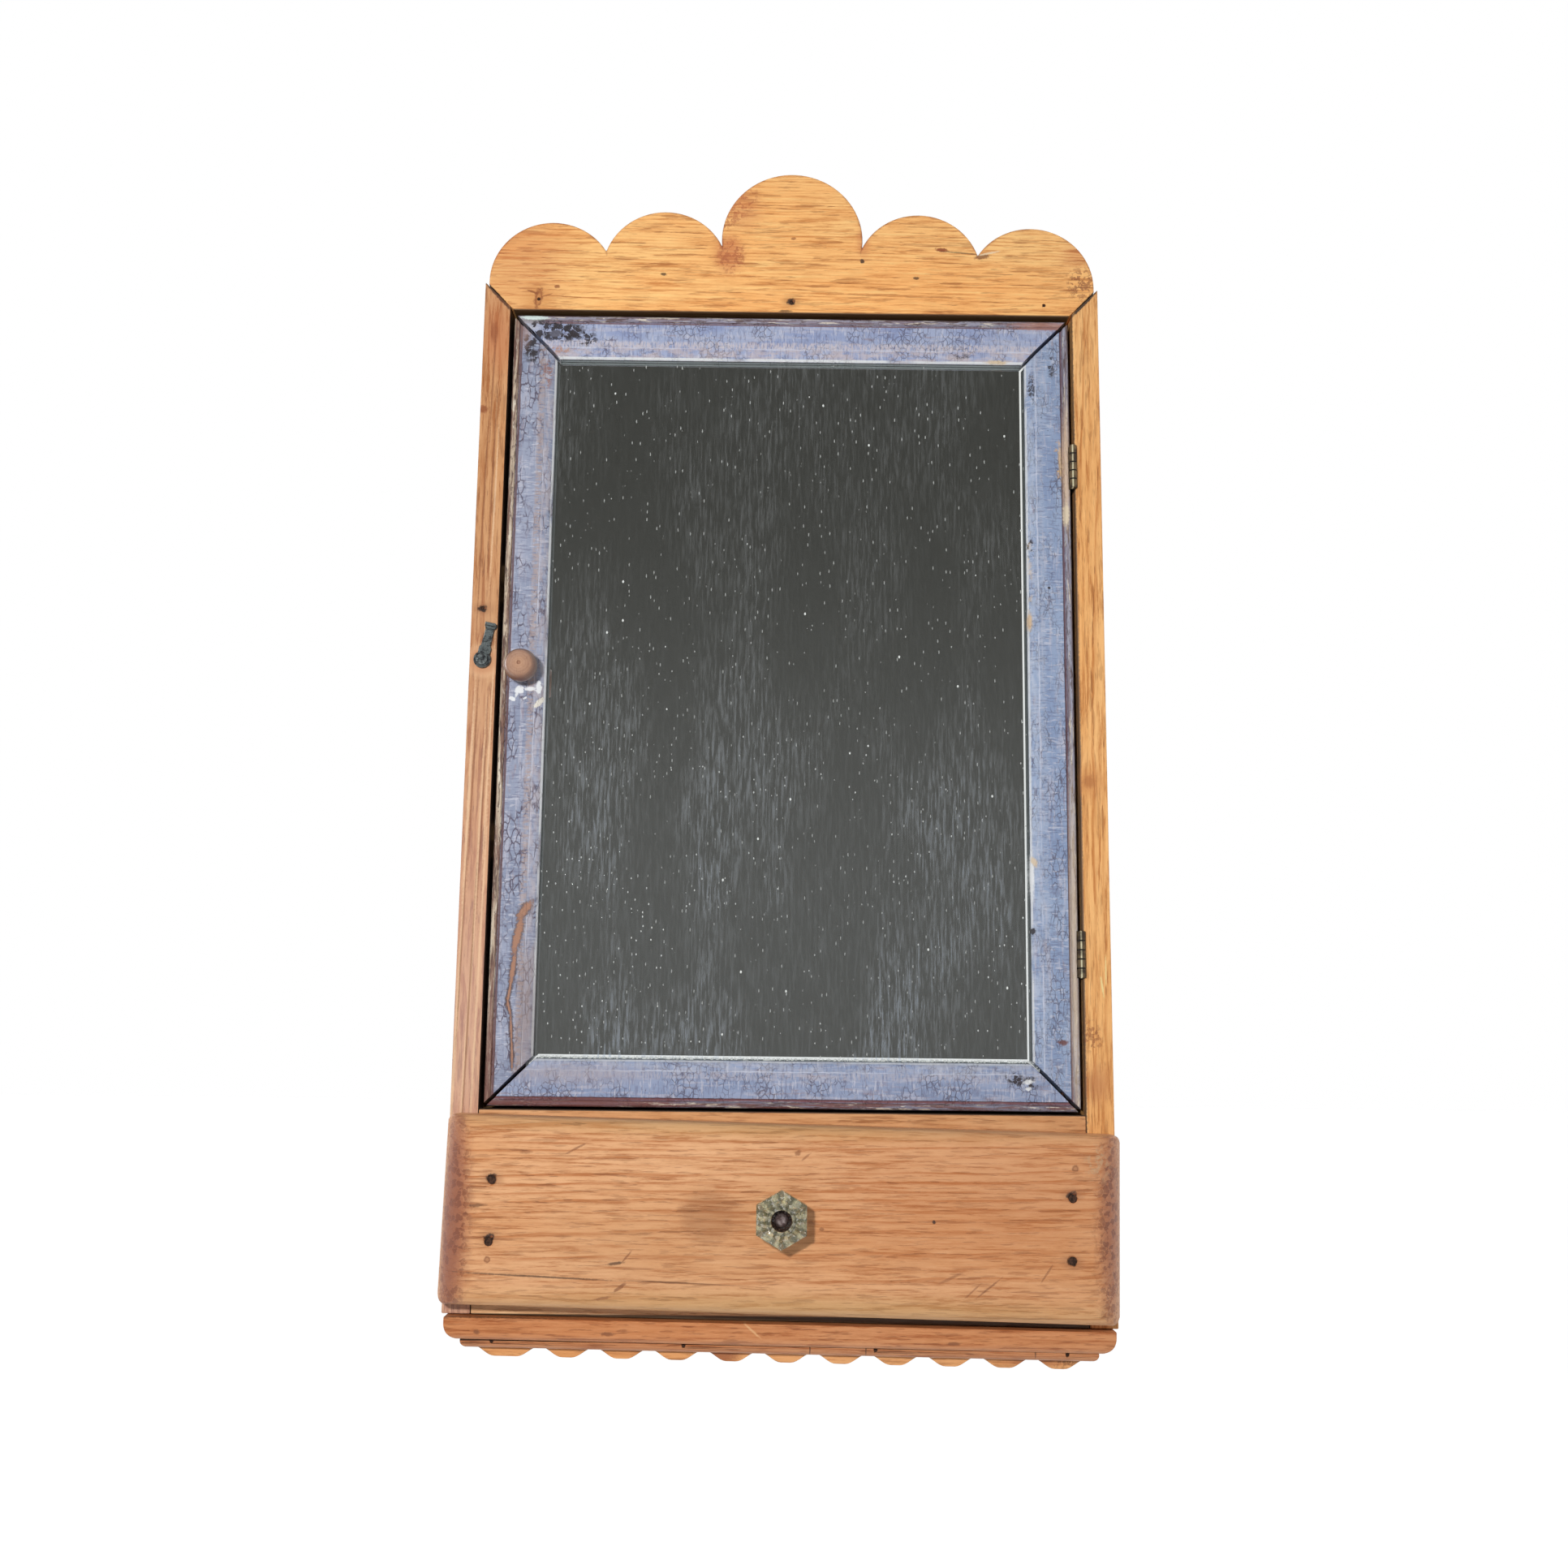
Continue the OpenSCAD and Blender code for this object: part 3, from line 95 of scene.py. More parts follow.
print("mid grey is", [round(value, 3) for value in seen(128, 128, 128)])

# %% [markdown]
# ## The camera
#
# The picture was taken from below the middle of the mirror, a little under a metre away, with the lens turned
# up almost nine degrees. That is why the sides of the cabinet lean together towards the crown. The place,
# the turn and the lens were worked out from the corners of the case, so they are written as found, and the
# camera's own axes are built from its three angles instead of being turned by eye.

# %% Camera
camera_place = mm(-3.47, -966.72, -372.0)
camera_pitch, camera_yaw, camera_roll = 0.154570543, 0.002818524, 0.01144612
ahead = Vector((math.sin(camera_yaw) * math.cos(camera_pitch),
                math.cos(camera_yaw) * math.cos(camera_pitch),
                math.sin(camera_pitch)))
level = Vector((math.cos(camera_yaw), -math.sin(camera_yaw), 0))
upward = level.cross(ahead)
across = level * math.cos(camera_roll) + upward * math.sin(camera_roll)
above = upward * math.cos(camera_roll) - level * math.sin(camera_roll)
camera = bpy.data.objects.new("camera", bpy.data.cameras.new("camera"))
bpy.context.scene.collection.objects.link(camera)
camera.matrix_world = Matrix.Translation(camera_place) @ Matrix((across, above, -ahead)).transposed().to_4x4()
camera.data.sensor_fit = "HORIZONTAL"
camera.data.sensor_width = 36
camera.data.lens = 36.15
camera.data.clip_start = 0.01
bpy.context.scene.camera = camera
print("camera at", [round(value, 3) for value in camera.location])

# %% [markdown]
# ## Nodes written as short lines
#
# A finish is a tree of nodes. Written out by hand each node takes four or five lines, which hides the idea
# behind the bookkeeping, so small helpers add a node, do a sum, mix two colours, or measure a distance. Each
# returns the socket that the next step plugs in. A new node is added beside the socket that feeds it, so most
# lines don't have to name their tree.

# %% Helpers that add nodes
def add(kind, inputs=None, tree=None, **settings):
    """Adds a node to a tree, or beside the first socket among its inputs. Other inputs are plain values."""
    inputs = inputs or {}
    tree = tree or next(value.id_data for value in inputs.values() if isinstance(value, bpy.types.NodeSocket))
    made = tree.nodes.new("ShaderNode" + kind)
    for name, value in settings.items():
        setattr(made, name, value)
    for name, value in inputs.items():
        if isinstance(value, bpy.types.NodeSocket):
            tree.links.new(value, made.inputs[name])
        else:
            made.inputs[name].default_value = value
    return made


def plug(value, node, name):
    """Links a value to a named input of a node."""
    node.id_data.links.new(value, node.inputs[name])


def calc(operation, *terms, clamp=False):
    """One sum on numbers, such as ADD or MAXIMUM."""
    return add("Math", dict(enumerate(terms)), operation=operation, use_clamp=clamp).outputs[0]


def times(first, *others):
    """Numbers multiplied one after the other."""
    for other in others:
        first = calc("MULTIPLY", first, other)
    return first


def times_plus(first, second, third):
    """The product of two numbers, plus a third."""
    return calc("MULTIPLY_ADD", first, second, third)


def minus(first, second):
    """The difference of two numbers."""
    return calc("SUBTRACT", first, second)


def vector_calc(operation, *terms):
    """One sum on vectors. LENGTH gives a number."""
    made = add("VectorMath", dict(enumerate(terms)), operation=operation)
    return made.outputs["Value" if operation == "LENGTH" else "Vector"]


def xyz(place):
    """The x, y and z of a place."""
    return add("SeparateXYZ", {0: place}).outputs


def mix(share, first, second):
    """Two colours mixed by a share from 0 to 1. A plain colour of three numbers is one as the eye reads it."""
    first, second = (seen(*colour) if isinstance(colour, tuple) and len(colour) == 3 else colour
                     for colour in (first, second))
    return add("Mix", {0: share, 6: first, 7: second}, data_type="RGBA").outputs[2]


def ramp(value, low, high, first=0.0, second=1.0):
    """first below low, second above high, and a soft step between them."""
    return add("MapRange", {0: value, 1: low, 2: high, 3: first, 4: second},
               interpolation_type="SMOOTHSTEP").outputs[0]


def noise(vector, scale, detail, rough, output="Fac"):
    """Soft cloudy noise, with scale in bumps to the metre."""
    return add("TexNoise", {"Vector": vector, "Scale": scale, "Detail": detail, "Roughness": rough}).outputs[output]


def stretched(vector, x, y, z):
    """The same coordinates with each axis scaled, which squeezes a pattern along it."""
    return vector_calc("MULTIPLY", vector, (x, y, z))


def from_axis(place, x, z):
    """The distance from a line that runs front to back."""
    return vector_calc("LENGTH", stretched(vector_calc("SUBTRACT", place, (x, 0, z)), 1, 0, 1))


print("helpers ready")

# %% [markdown]
# ## Node groups
#
# A group is a small machine with named sockets that several finishes share. The first gives a mask for one
# mark at a place: a knot, a nail stain, a chip. Every mark on the cabinet is this group with its own centre,
# reach and turn, and a little noise makes its edge ragged, as a real stain or chip has.

# %% Group: one mark at a place
def new_group(name, inputs, outputs):
    """A node group with a Vector, other inputs with their values, and outputs that are numbers. Returns the
    group, the sockets that it is given, and its output node."""
    tree = bpy.data.node_groups.new(name, "ShaderNodeTree")
    for socket, value in {"Vector": (0, 0, 0), **inputs}.items():
        kind = "NodeSocketVector" if isinstance(value, tuple) else "NodeSocketFloat"
        tree.interface.new_socket(socket, in_out="INPUT", socket_type=kind).default_value = value
    for socket in outputs:
        tree.interface.new_socket(socket, in_out="OUTPUT", socket_type="NodeSocketFloat")
    return tree, tree.nodes.new("NodeGroupInput").outputs, tree.nodes.new("NodeGroupOutput")


def use(group, inputs):
    """Places a group beside its inputs, and returns its outputs."""
    return add("Group", inputs, node_tree=group).outputs


mark_group, given, out = new_group("mark", {
    "Centre": (0, 0, 0), "Reach": (0.003, 0.003, 0.003), "Turn": (0, 0, 0), "Ragged": 0.3, "Soft": 0.2}, ["Mask"])
turned_to = add("Mapping", {"Vector": given["Vector"], "Location": given["Centre"], "Rotation": given["Turn"],
                            "Scale": given["Reach"]}, vector_type="TEXTURE").outputs[0]
ragged_edge = times(minus(noise(given["Vector"], 700, 3, 0.6), 0.5), given["Ragged"])
away = times_plus(ragged_edge, 4.0, vector_calc("LENGTH", turned_to))
plug(ramp(away, minus(1.0, given["Soft"]), calc("ADD", 1.0, given["Soft"]), 1.0, 0.0), out, "Mask")
print("mark group:", len(mark_group.nodes), "nodes")

# %% [markdown]
# The second group is wood. A board is cut from a log, so its figure is a slice through rings about the heart
# of the tree: give the heart's place and the rings follow on the face, the edges and the end grain alike.
# The grain runs along the group's X. Late wood makes a dark line that ends sharply where the next spring
# began, fibres streak the surface, and short dark flecks are resin canals and open pores.

# %% Group: pine
pine_group, given, out = new_group("pine figure", {
    "Heart": (0, 0.08, -0.1), "Ring Width": 0.0035, "Wander": 0.004, "Taper": 0.01},
    ["Late Wood", "Fibres", "Flecks", "Cloud", "Height"])


def drawn_out(along, across, detail, rough=0.5):
    """Noise drawn out along the grain, with bumps to the metre along it and across it."""
    return noise(stretched(given["Vector"], along, across, across), 1.0, detail, rough)


drift, shake = (minus(drawn_out(along, across, 2), 0.5) for along, across in ((4, 14), (24, 130)))
from_heart = stretched(vector_calc("SUBTRACT", given["Vector"], given["Heart"]), 0, 1, 1)
lean = times(xyz(given["Vector"])[0], given["Taper"])
wandering = times_plus(drift, given["Wander"], calc("ADD", vector_calc("LENGTH", from_heart), lean))
years = calc("DIVIDE", times_plus(shake, 0.0018, wandering), given["Ring Width"])
season = calc("FRACT", years)
strength = add("TexWhiteNoise", {"W": calc("FLOOR", years)}, noise_dimensions="1D").outputs[0]
summer = times(ramp(season, 0.5, 0.92), ramp(season, 0.92, 1.0, 1.0, 0.0))
late = times(summer, ramp(drawn_out(18, 260, 2), 0.32, 0.6, 0.25, 1.0), times_plus(strength, 0.85, 0.25))
fibres = drawn_out(34, 580, 5, 0.75)
flecks = times(ramp(drawn_out(56, 660, 3, 0.6), 0.56, 0.64), times_plus(late, 0.6, 0.5))
height = times_plus(flecks, -0.8, times_plus(fibres, 0.4, times(late, 0.4)))
for name, value in (("Late Wood", late), ("Fibres", fibres), ("Flecks", flecks),
                    ("Cloud", drawn_out(7, 26, 4, 0.6)), ("Height", height)):
    plug(value, out, name)
print("pine group:", len(pine_group.nodes), "nodes")

# %% [markdown]
# The third group is a net of fine cracks, as in old milk paint: the edges of Voronoi cells, which are
# stretched by the vector that is plugged in. The fourth scatters dust: a small disc in a few of the cells. The
# fifth picks whole cells with bent edges, which is how a brittle skin of paint lets go: in angular flakes.

# %% Groups: crackle, dust and flakes
def bend(vector, scale, detail, rough, reach):
    """A vector pushed about by noise, so that the cells drawn on it have crooked edges."""
    return vector_calc("MULTIPLY_ADD", noise(vector, scale, detail, rough, "Color"), (reach, reach, reach), vector)


def voronoi(vector, cells, feature="F1"):
    """A net of cells, with so many to the metre."""
    return add("TexVoronoi", {"Vector": vector, "Scale": cells}, feature=feature).outputs


def chosen(net, share):
    """1 in a share of the cells, and 0 in the others."""
    return calc("LESS_THAN", add("SeparateColor", {0: net["Color"]}).outputs[0], share)


crackle_group, given, out = new_group("crackle", {"Cells": 300.0, "Width": 0.05}, ["Cracks"])
net = voronoi(bend(given["Vector"], 260, 2, 0.5, 0.003), given["Cells"], "DISTANCE_TO_EDGE")
cracks = ramp(net["Distance"], 0.0, given["Width"], 1.0, 0.0)
plug(times(cracks, ramp(noise(given["Vector"], 90, 3, 0.6), 0.42, 0.62)), out, "Cracks")

dust_group, given, out = new_group("dust", {"Cells": 400.0, "Share": 0.2, "Size": 0.2}, ["Mask"])
grains = voronoi(given["Vector"], given["Cells"])
speck = ramp(grains["Distance"], times(given["Size"], 0.5), given["Size"], 1.0, 0.0)
plug(times(chosen(grains, given["Share"]), speck), out, "Mask")

flake_group, given, out = new_group("flakes", {"Cells": 600.0, "Share": 0.4}, ["Mask"])
bent = bend(given["Vector"], 420, 3, 0.6, 0.004)
picked = chosen(voronoi(bent, given["Cells"]), given["Share"])
rims = voronoi(bent, given["Cells"], "DISTANCE_TO_EDGE")["Distance"]
plug(times(picked, ramp(rims, 0.03, 0.08)), out, "Mask")
print("crackle, dust and flake groups ready")

# %% [markdown]
# ## A material and its surface
#
# Each finish starts with the same two nodes: a Principled surface, and Object coordinates. Every finished
# piece keeps its place in its mesh, so Object coordinates are the cabinet's own metres, and a mark measured
# on the real cabinet can be written down where it is. Marks are given in millimetres across (x) and up (z)
# on a face at the depth y.

# %% Starting a material, and laying marks on it
MARK_REACH = 8  # how far in mm a mark reaches before and behind its face
FLAKES_LOST = 0.48  # the share of cells that have let go where a mark is broken into flakes
GRAIN_TURNS = {"x": (0, 0, 0), "y": (0, 0, math.radians(-90)), "z": (0, math.radians(90), 0)}


def new_material(name, **plain):
    """A material with a Principled surface whose plain sockets are set directly. Returns it with its surface
    and its Object coordinates."""
    material = bpy.data.materials.new(name)
    material.use_nodes = True
    material.node_tree.nodes.clear()
    surface = add("BsdfPrincipled", plain, material.node_tree)
    add("OutputMaterial", {"Surface": surface.outputs[0]})
    return material, surface, add("TexCoord", tree=material.node_tree).outputs["Object"]


def lay_marks(place, y, colour, height, marks):
    """Lays marks over a colour and a height. A mark is (x, z, half width, half height, turn in degrees,
    colour, share, softness, depth), and a tenth number breaks it into flakes of that many cells to the metre."""
    for x, z, half_w, half_h, turn, tint, share, soft, depth, *flakes in marks:
        spot = use(mark_group, {
            "Vector": place, "Centre": mm(x, y, z), "Reach": mm(half_w, MARK_REACH, half_h),
            "Turn": (0, math.radians(-turn), 0), "Soft": soft,
            "Ragged": min(0.35 if soft < 0.6 else 0.12, 0.8 / min(half_w, half_h))})[0]
        if flakes:
            spot = times(spot, use(flake_group, {"Vector": place, "Cells": flakes[0], "Share": FLAKES_LOST})[0])
        colour = mix(times(spot, share), colour, tint)
        if depth:
            height = times_plus(spot, -depth, height)
    return colour, height


def bump(surface, height, distance):
    """Feeds a height to the surface's normal, with its full depth in metres."""
    plug(add("Bump", {"Height": height, "Distance": distance}).outputs[0], surface, "Normal")


print("grain can run along", sorted(GRAIN_TURNS))

# %% [markdown]
# ## Old pine
#
# One function makes every wooden finish from one tone, the board's colour as the eye reads it. Spring wood is a
# little lighter than the tone, a slow cloud of colour a little deeper, and the late wood line is the tone made
# darker and redder. It turns the coordinates so that the grain runs along the board and asks the pine group
# for the figure. The gap shade is painted shade: a dark colour laid where a face runs into a gap or under
# another board, given as an axis, the place where it starts and the place where it is full. The varnish is
# thin and worn, so the roughness follows the fibres.

# %% A pine finish
# The first of these colours is both the painted shade laid into gaps and under boards, and the dirt in the mitre
# joints.
SHADE_AND_JOINT_DIRT, NAIL_RUST, NAIL_HALO, RUST_SPECK = (34, 24, 20), (46, 30, 24), (126, 76, 48), (150, 88, 56)
KNOT_DARK, RED_STAIN = (140, 78, 44), (190, 104, 66)


def shaded(tone, red, green, blue):
    """A seen tone with each of its linear parts scaled."""
    return tuple(min(part * share, 1.0) for part, share in zip(seen(*tone), (red, green, blue))) + (1.0,)


def pine(name, runs, heart, ring, tone, wander=4, taper=0.01, fleck=0.6, rough=0.5, y=0, marks=(), painted_gap_shade=None,
         depth=0.00022, line_share=0.8, grain=0.6, coat=0.0):
    """Pine with its grain along runs. heart is millimetres from the board's middle line, in the turned axes."""
    material, surface, place = new_material(name, **{"Coat Weight": coat, "Coat Roughness": 0.35})
    turned = add("Mapping", {"Vector": place, "Rotation": GRAIN_TURNS[runs]}).outputs[0]
    figure = use(pine_group, {"Vector": turned, "Heart": mm(*heart), "Ring Width": mm(ring),
                              "Wander": mm(wander), "Taper": taper})
    fibres = figure["Fibres"]
    mottle = noise(stretched(turned, 60, 170, 170), 1.0, 3, 0.6)
    colour = mix(ramp(figure["Cloud"], 0.34, 0.66), shaded(tone, 1.06, 1.09, 1.12), shaded(tone, 0.98, 0.90, 0.81))
    for share, parts in ((times(figure["Late Wood"], line_share), (0.68, 0.46, 0.30)),
                         (ramp(fibres, 0.52, 0.34, 0.0, grain), (0.58, 0.38, 0.24)),
                         (ramp(fibres, 0.52, 0.68, 0.0, 0.6), (1.16, 1.22, 1.28)),
                         (ramp(mottle, 0.5, 0.35, 0.0, 0.3), (0.8, 0.72, 0.64)),
                         (times(figure["Flecks"], fleck), (0.36, 0.22, 0.14))):
        colour = mix(share, colour, shaded(tone, *parts))
    colour, height = lay_marks(place, y, colour, figure["Height"], marks)
    # Painted shade: the colour darkens along one axis towards a gap or under another board.
    if painted_gap_shade:
        axis, start, full = painted_gap_shade
        low, high = sorted((start, full))
        gap_shade_mask = ramp(xyz(place)["xyz".index(axis)], mm(low), mm(high), float(full < start), float(full > start))
        colour = mix(times(gap_shade_mask, 0.92), colour, SHADE_AND_JOINT_DIRT)
    plug(colour, surface, "Base Color")
    plug(ramp(fibres, 0.2, 0.8, rough + 0.1, rough - 0.08), surface, "Roughness")
    bump(surface, height, depth)
    return material, surface, place


def nail_marks(x, z):
    """A nail head sunk in a ragged dark hole, with a brown halo in the wood and a speck of rust."""
    return [(x, z, 4.6, 3.2, 0, NAIL_HALO, 0.4, 0.7, 0), (x - 0.3, z + 0.2, 2.4, 1.6, 20, NAIL_RUST, 0.95, 0.35, 1.0),
            (x + 0.6, z - 0.7, 1.3, 1.2, 0, NAIL_RUST, 0.9, 0.35, 0.6),
            (x + 0.9, z + 0.4, 0.7, 0.6, 0, RUST_SPECK, 0.8, 0.4, 0)]


def filled_hole(x, z):
    """An old nail hole that was filled: a thin dark ring with a paler plug."""
    return [(x, z, 1.5, 1.5, 0, NAIL_HALO, 0.75, 0.35, 0.5), (x, z, 0.825, 0.825, 0, (186, 132, 92), 0.8, 0.4, 0)]


def mitre_dirt(side):
    """The dirty line where the crown and a stile meet. side is -1 at the left and 1 at the right."""
    return side * 163.7, 30.6, 12, 1.0, side * 47.8, SHADE_AND_JOINT_DIRT, 0.95, 0.35, 0.6


print("pine ready")

# %% [markdown]
# ## Finishes of the face
#
# The crown is straight-grained pine with fine horizontal dashes, yellow in the middle and redder at its left
# end. Knots, spots and the one filled nail hole are laid where the real board has them. Its saw-cut rim has
# taken up dirt, so a thin red-brown line follows the five lobes. The lobes are circles, and the line lies
# where the distance to the nearest circle is small. A sixth circle below the middle lobe keeps the line out of
# the board.

# %% Crown
# The underside of the crown, over the door, is darkened as painted shade.
crown_pine, surface, place = pine(
    "crown pine", "x", (0, 60, -190), 1.5, (255, 194, 124), wander=6, taper=0.012, fleck=0.85, y=-140,
    line_share=0.75, grain=0.8, coat=0.15, painted_gap_shade=("z", 23.4, 22.6), marks=[
    (-155, 50, 28, 34, 0, RED_STAIN, 0.36, 0.8, 0), (-35.5, 57, 7, 10, 0, RED_STAIN, 0.6, 0.6, 0),
    (-34, 56, 8, 10, 0, (168, 90, 56), 0.6, 0.4, 0.2, 520), (-31, 84, 6, 15, -40, (168, 90, 56), 0.55, 0.4, 0.2, 520),
    (40, 66, 3.5, 9, 0, RED_STAIN, 0.4, 0.6, 0), (-30, 86, 9, 12, 40, RED_STAIN, 0.4, 0.8, 0),
    (-141, 29.6, 8, 7, 0, (206, 140, 80), 0.6, 0.7, 0), (-141.2, 29.6, 2.2, 5.6, -8, KNOT_DARK, 0.85, 0.35, 0.3),
    (-141.0, 29.4, 1.0, 3.6, -8, (206, 142, 84), 0.8, 0.35, 0.0),
    (-144.6, 33.2, 3.4, 0.6, -20, KNOT_DARK, 0.8, 0.4, 0.3), (-136.6, 31.2, 3.0, 0.5, 20, KNOT_DARK, 0.6, 0.4, 0.3),
    mitre_dirt(-1), mitre_dirt(1),
    (-131, 36.5, 1.6, 1.0, 0, KNOT_DARK, 0.8, 0.3, 0.4), (-71.6, 44.6, 1.6, 0.9, 0, NAIL_RUST, 0.8, 0.3, 0.5),
    (69.6, 44.1, 1.6, 0.8, 0, NAIL_RUST, 0.8, 0.3, 0.5), (0.8, 66.9, 1.4, 0.8, 0, KNOT_DARK, 0.7, 0.3, 0.3),
    (84, 61.2, 3.2, 1.2, -8, (140, 62, 30), 0.9, 0.35, 0.3), (95, 59.6, 11, 0.45, -5, NAIL_RUST, 0.6, 0.5, 0.8),
    (39.4, 53.8, 1.2, 1.2, 0, NAIL_RUST, 0.9, 0.3, 1.0), (-3.5, 23.6, 3.5, 0.7, 0, NAIL_RUST, 0.7, 0.4, 0.3),
    (106.6, 57.5, 4, 1.5, 10, (120, 70, 40), 0.8, 0.4, 0.6), (110, 59.5, 6, 0.6, 12, (242, 216, 178), 0.8, 0.4, 0),
    (162, 42, 8, 9, 0, (150, 92, 58), 0.75, 0.5, 0.5, 500), (160, 60, 7, 9, -40, RED_STAIN, 0.35, 0.8, 0),
    *nail_marks(-0.1, 29.1)])
LOBES = ((0, 66.2, 39.5), (0, 52, 39.5), (-71, 47.1, 35), (71, 47.1, 35), (-134, 39.8, 35), (134, 39.8, 35))
inward = None
for x, z, radius in LOBES:
    past_rim = minus(from_axis(place, mm(x), mm(z)), mm(radius))
    inward = past_rim if inward is None else calc("MINIMUM", inward, past_rim)
rim = times_plus(noise(place, 160, 3, 0.6), 0.003, minus(inward, 0.0015))
rim = times(ramp(rim, -0.0013, 0.0002), ramp(xyz(place)[2], 0.040, 0.052))
painted = surface.inputs["Base Color"].links[0].from_socket
plug(mix(times(rim, 0.65), painted, (150, 76, 44)), surface, "Base Color")
print("crown finish:", len(crown_pine.node_tree.nodes), "nodes")

# %% [markdown]
# The stiles stand upright, so their grain runs along z. The left one is browner and reddens towards its foot;
# the right one is yellower, with one round knot. The turn button has rubbed a pale ring into the left stile.

# %% Stiles and rails
LIGHT_STREAKS = ((-168.2, -250, 0.7, 55), (-162.4, -300, 0.6, 80), (-170, -390, 0.8, 90), (-165.4, -430, 0.6, 70),
                 (-159.6, -360, 0.6, 100), (-161, -90, 0.5, 40), (-158.6, -230, 0.5, 60))
DARK_STREAKS = ((-166.4, -235, 0.5, 55), (-160.8, -262, 0.5, 50), (-168.6, -330, 0.4, 50), (-163.8, -372, 0.5, 80),
                (-167.4, -462, 0.4, 45), (-162.6, -70, 0.5, 50), (-167, -100, 0.5, 60), (-164.6, -20, 0.5, 30))
# The left stile's inner edge beside the door is darkened as painted shade of the gap.
left_stile_pine = pine("left stile pine", "z", (0, 55, 230), 1.7, (208, 155, 108), wander=7, taper=0.02, fleck=0.9,
                       y=-140, line_share=0.9, grain=1.25, coat=0.15, painted_gap_shade=("x", -156.8, -156.5), marks=[
    (-165, -430, 14, 200, 0, (200, 172, 168), 0.42, 0.9, 0), mitre_dirt(-1),
    (-165, -130, 14, 130, 0, (150, 110, 78), 0.22, 0.9, 0), (-163, 6, 8, 20, 8, (184, 104, 62), 0.5, 0.7, 0),
    (-165, 8.7, 2, 6, 0, (140, 74, 44), 0.6, 0.6, 0.3),
    *[(*streak, -0.9, (232, 196, 158), 0.6, 0.5, 0) for streak in LIGHT_STREAKS],
    *[(*streak, -0.9, (128, 78, 50), 0.6, 0.5, 0.2) for streak in DARK_STREAKS],
    (-169.5, -36, 2.6, 2.2, 0, KNOT_DARK, 0.85, 0.4, 0.5), (-163.7, -178, 9.5, 9, 0, (232, 190, 150), 0.55, 0.25, 0),
    (-163.7, -178, 8, 7.6, 0, (196, 138, 100), 0.7, 0.3, 0.2), *nail_marks(-164.9, -149.3)])[0]
right_stile_pine = pine("right stile pine", "z", (0, 60, -240), 1.8, (238, 182, 118), wander=7, taper=0.015,
                        fleck=0.7, y=-140, line_share=0.8, grain=0.9, coat=0.15, marks=[
    mitre_dirt(1), (156.2, -240, 0.9, 300, 0, (116, 94, 78), 0.9, 0.4, 0),
    (161.2, -239.9, 3.0, 3.4, 0, KNOT_DARK, 0.75, 0.45, 0.5), (162, -240, 6.5, 9, 0, (200, 132, 76), 0.6, 0.6, 0),
    (160, -374, 5, 8, 10, (140, 80, 50), 0.6, 0.5, 0.4, 520), (163, -398, 6, 9, 0, (176, 108, 70), 0.5, 0.8, 0),
    (166, -348, 0.5, 5, 8, (238, 214, 150), 0.9, 0.4, 0), (168, -340, 0.4, 7, 0, (238, 214, 150), 0.8, 0.4, 0)])[0]
# The middle rail's top face under the door is darkened as painted shade.
rail_pine = pine("rail pine", "x", (0, 70, -330), 1.8, (210, 160, 114), wander=5, fleck=0.7, y=-140, line_share=0.5,
                 coat=0.15, painted_gap_shade=("z", -414.9, -414.3))[0]
# The foot rail's tone is much paler than the middle rail's: painted light that makes up for the drawer's shadow on
# it. Its lowest edge above the base board is darkened as painted shade.
lightened_foot_rail_pine = pine("lightened foot rail pine", "x", (0, 70, -330), 1.8, (244, 212, 170), wander=5, fleck=0.7, y=-140,
                      line_share=0.5, coat=0.15, painted_gap_shade=("z", -514.8, -515.6))[0]
print("stile and rail finishes ready")
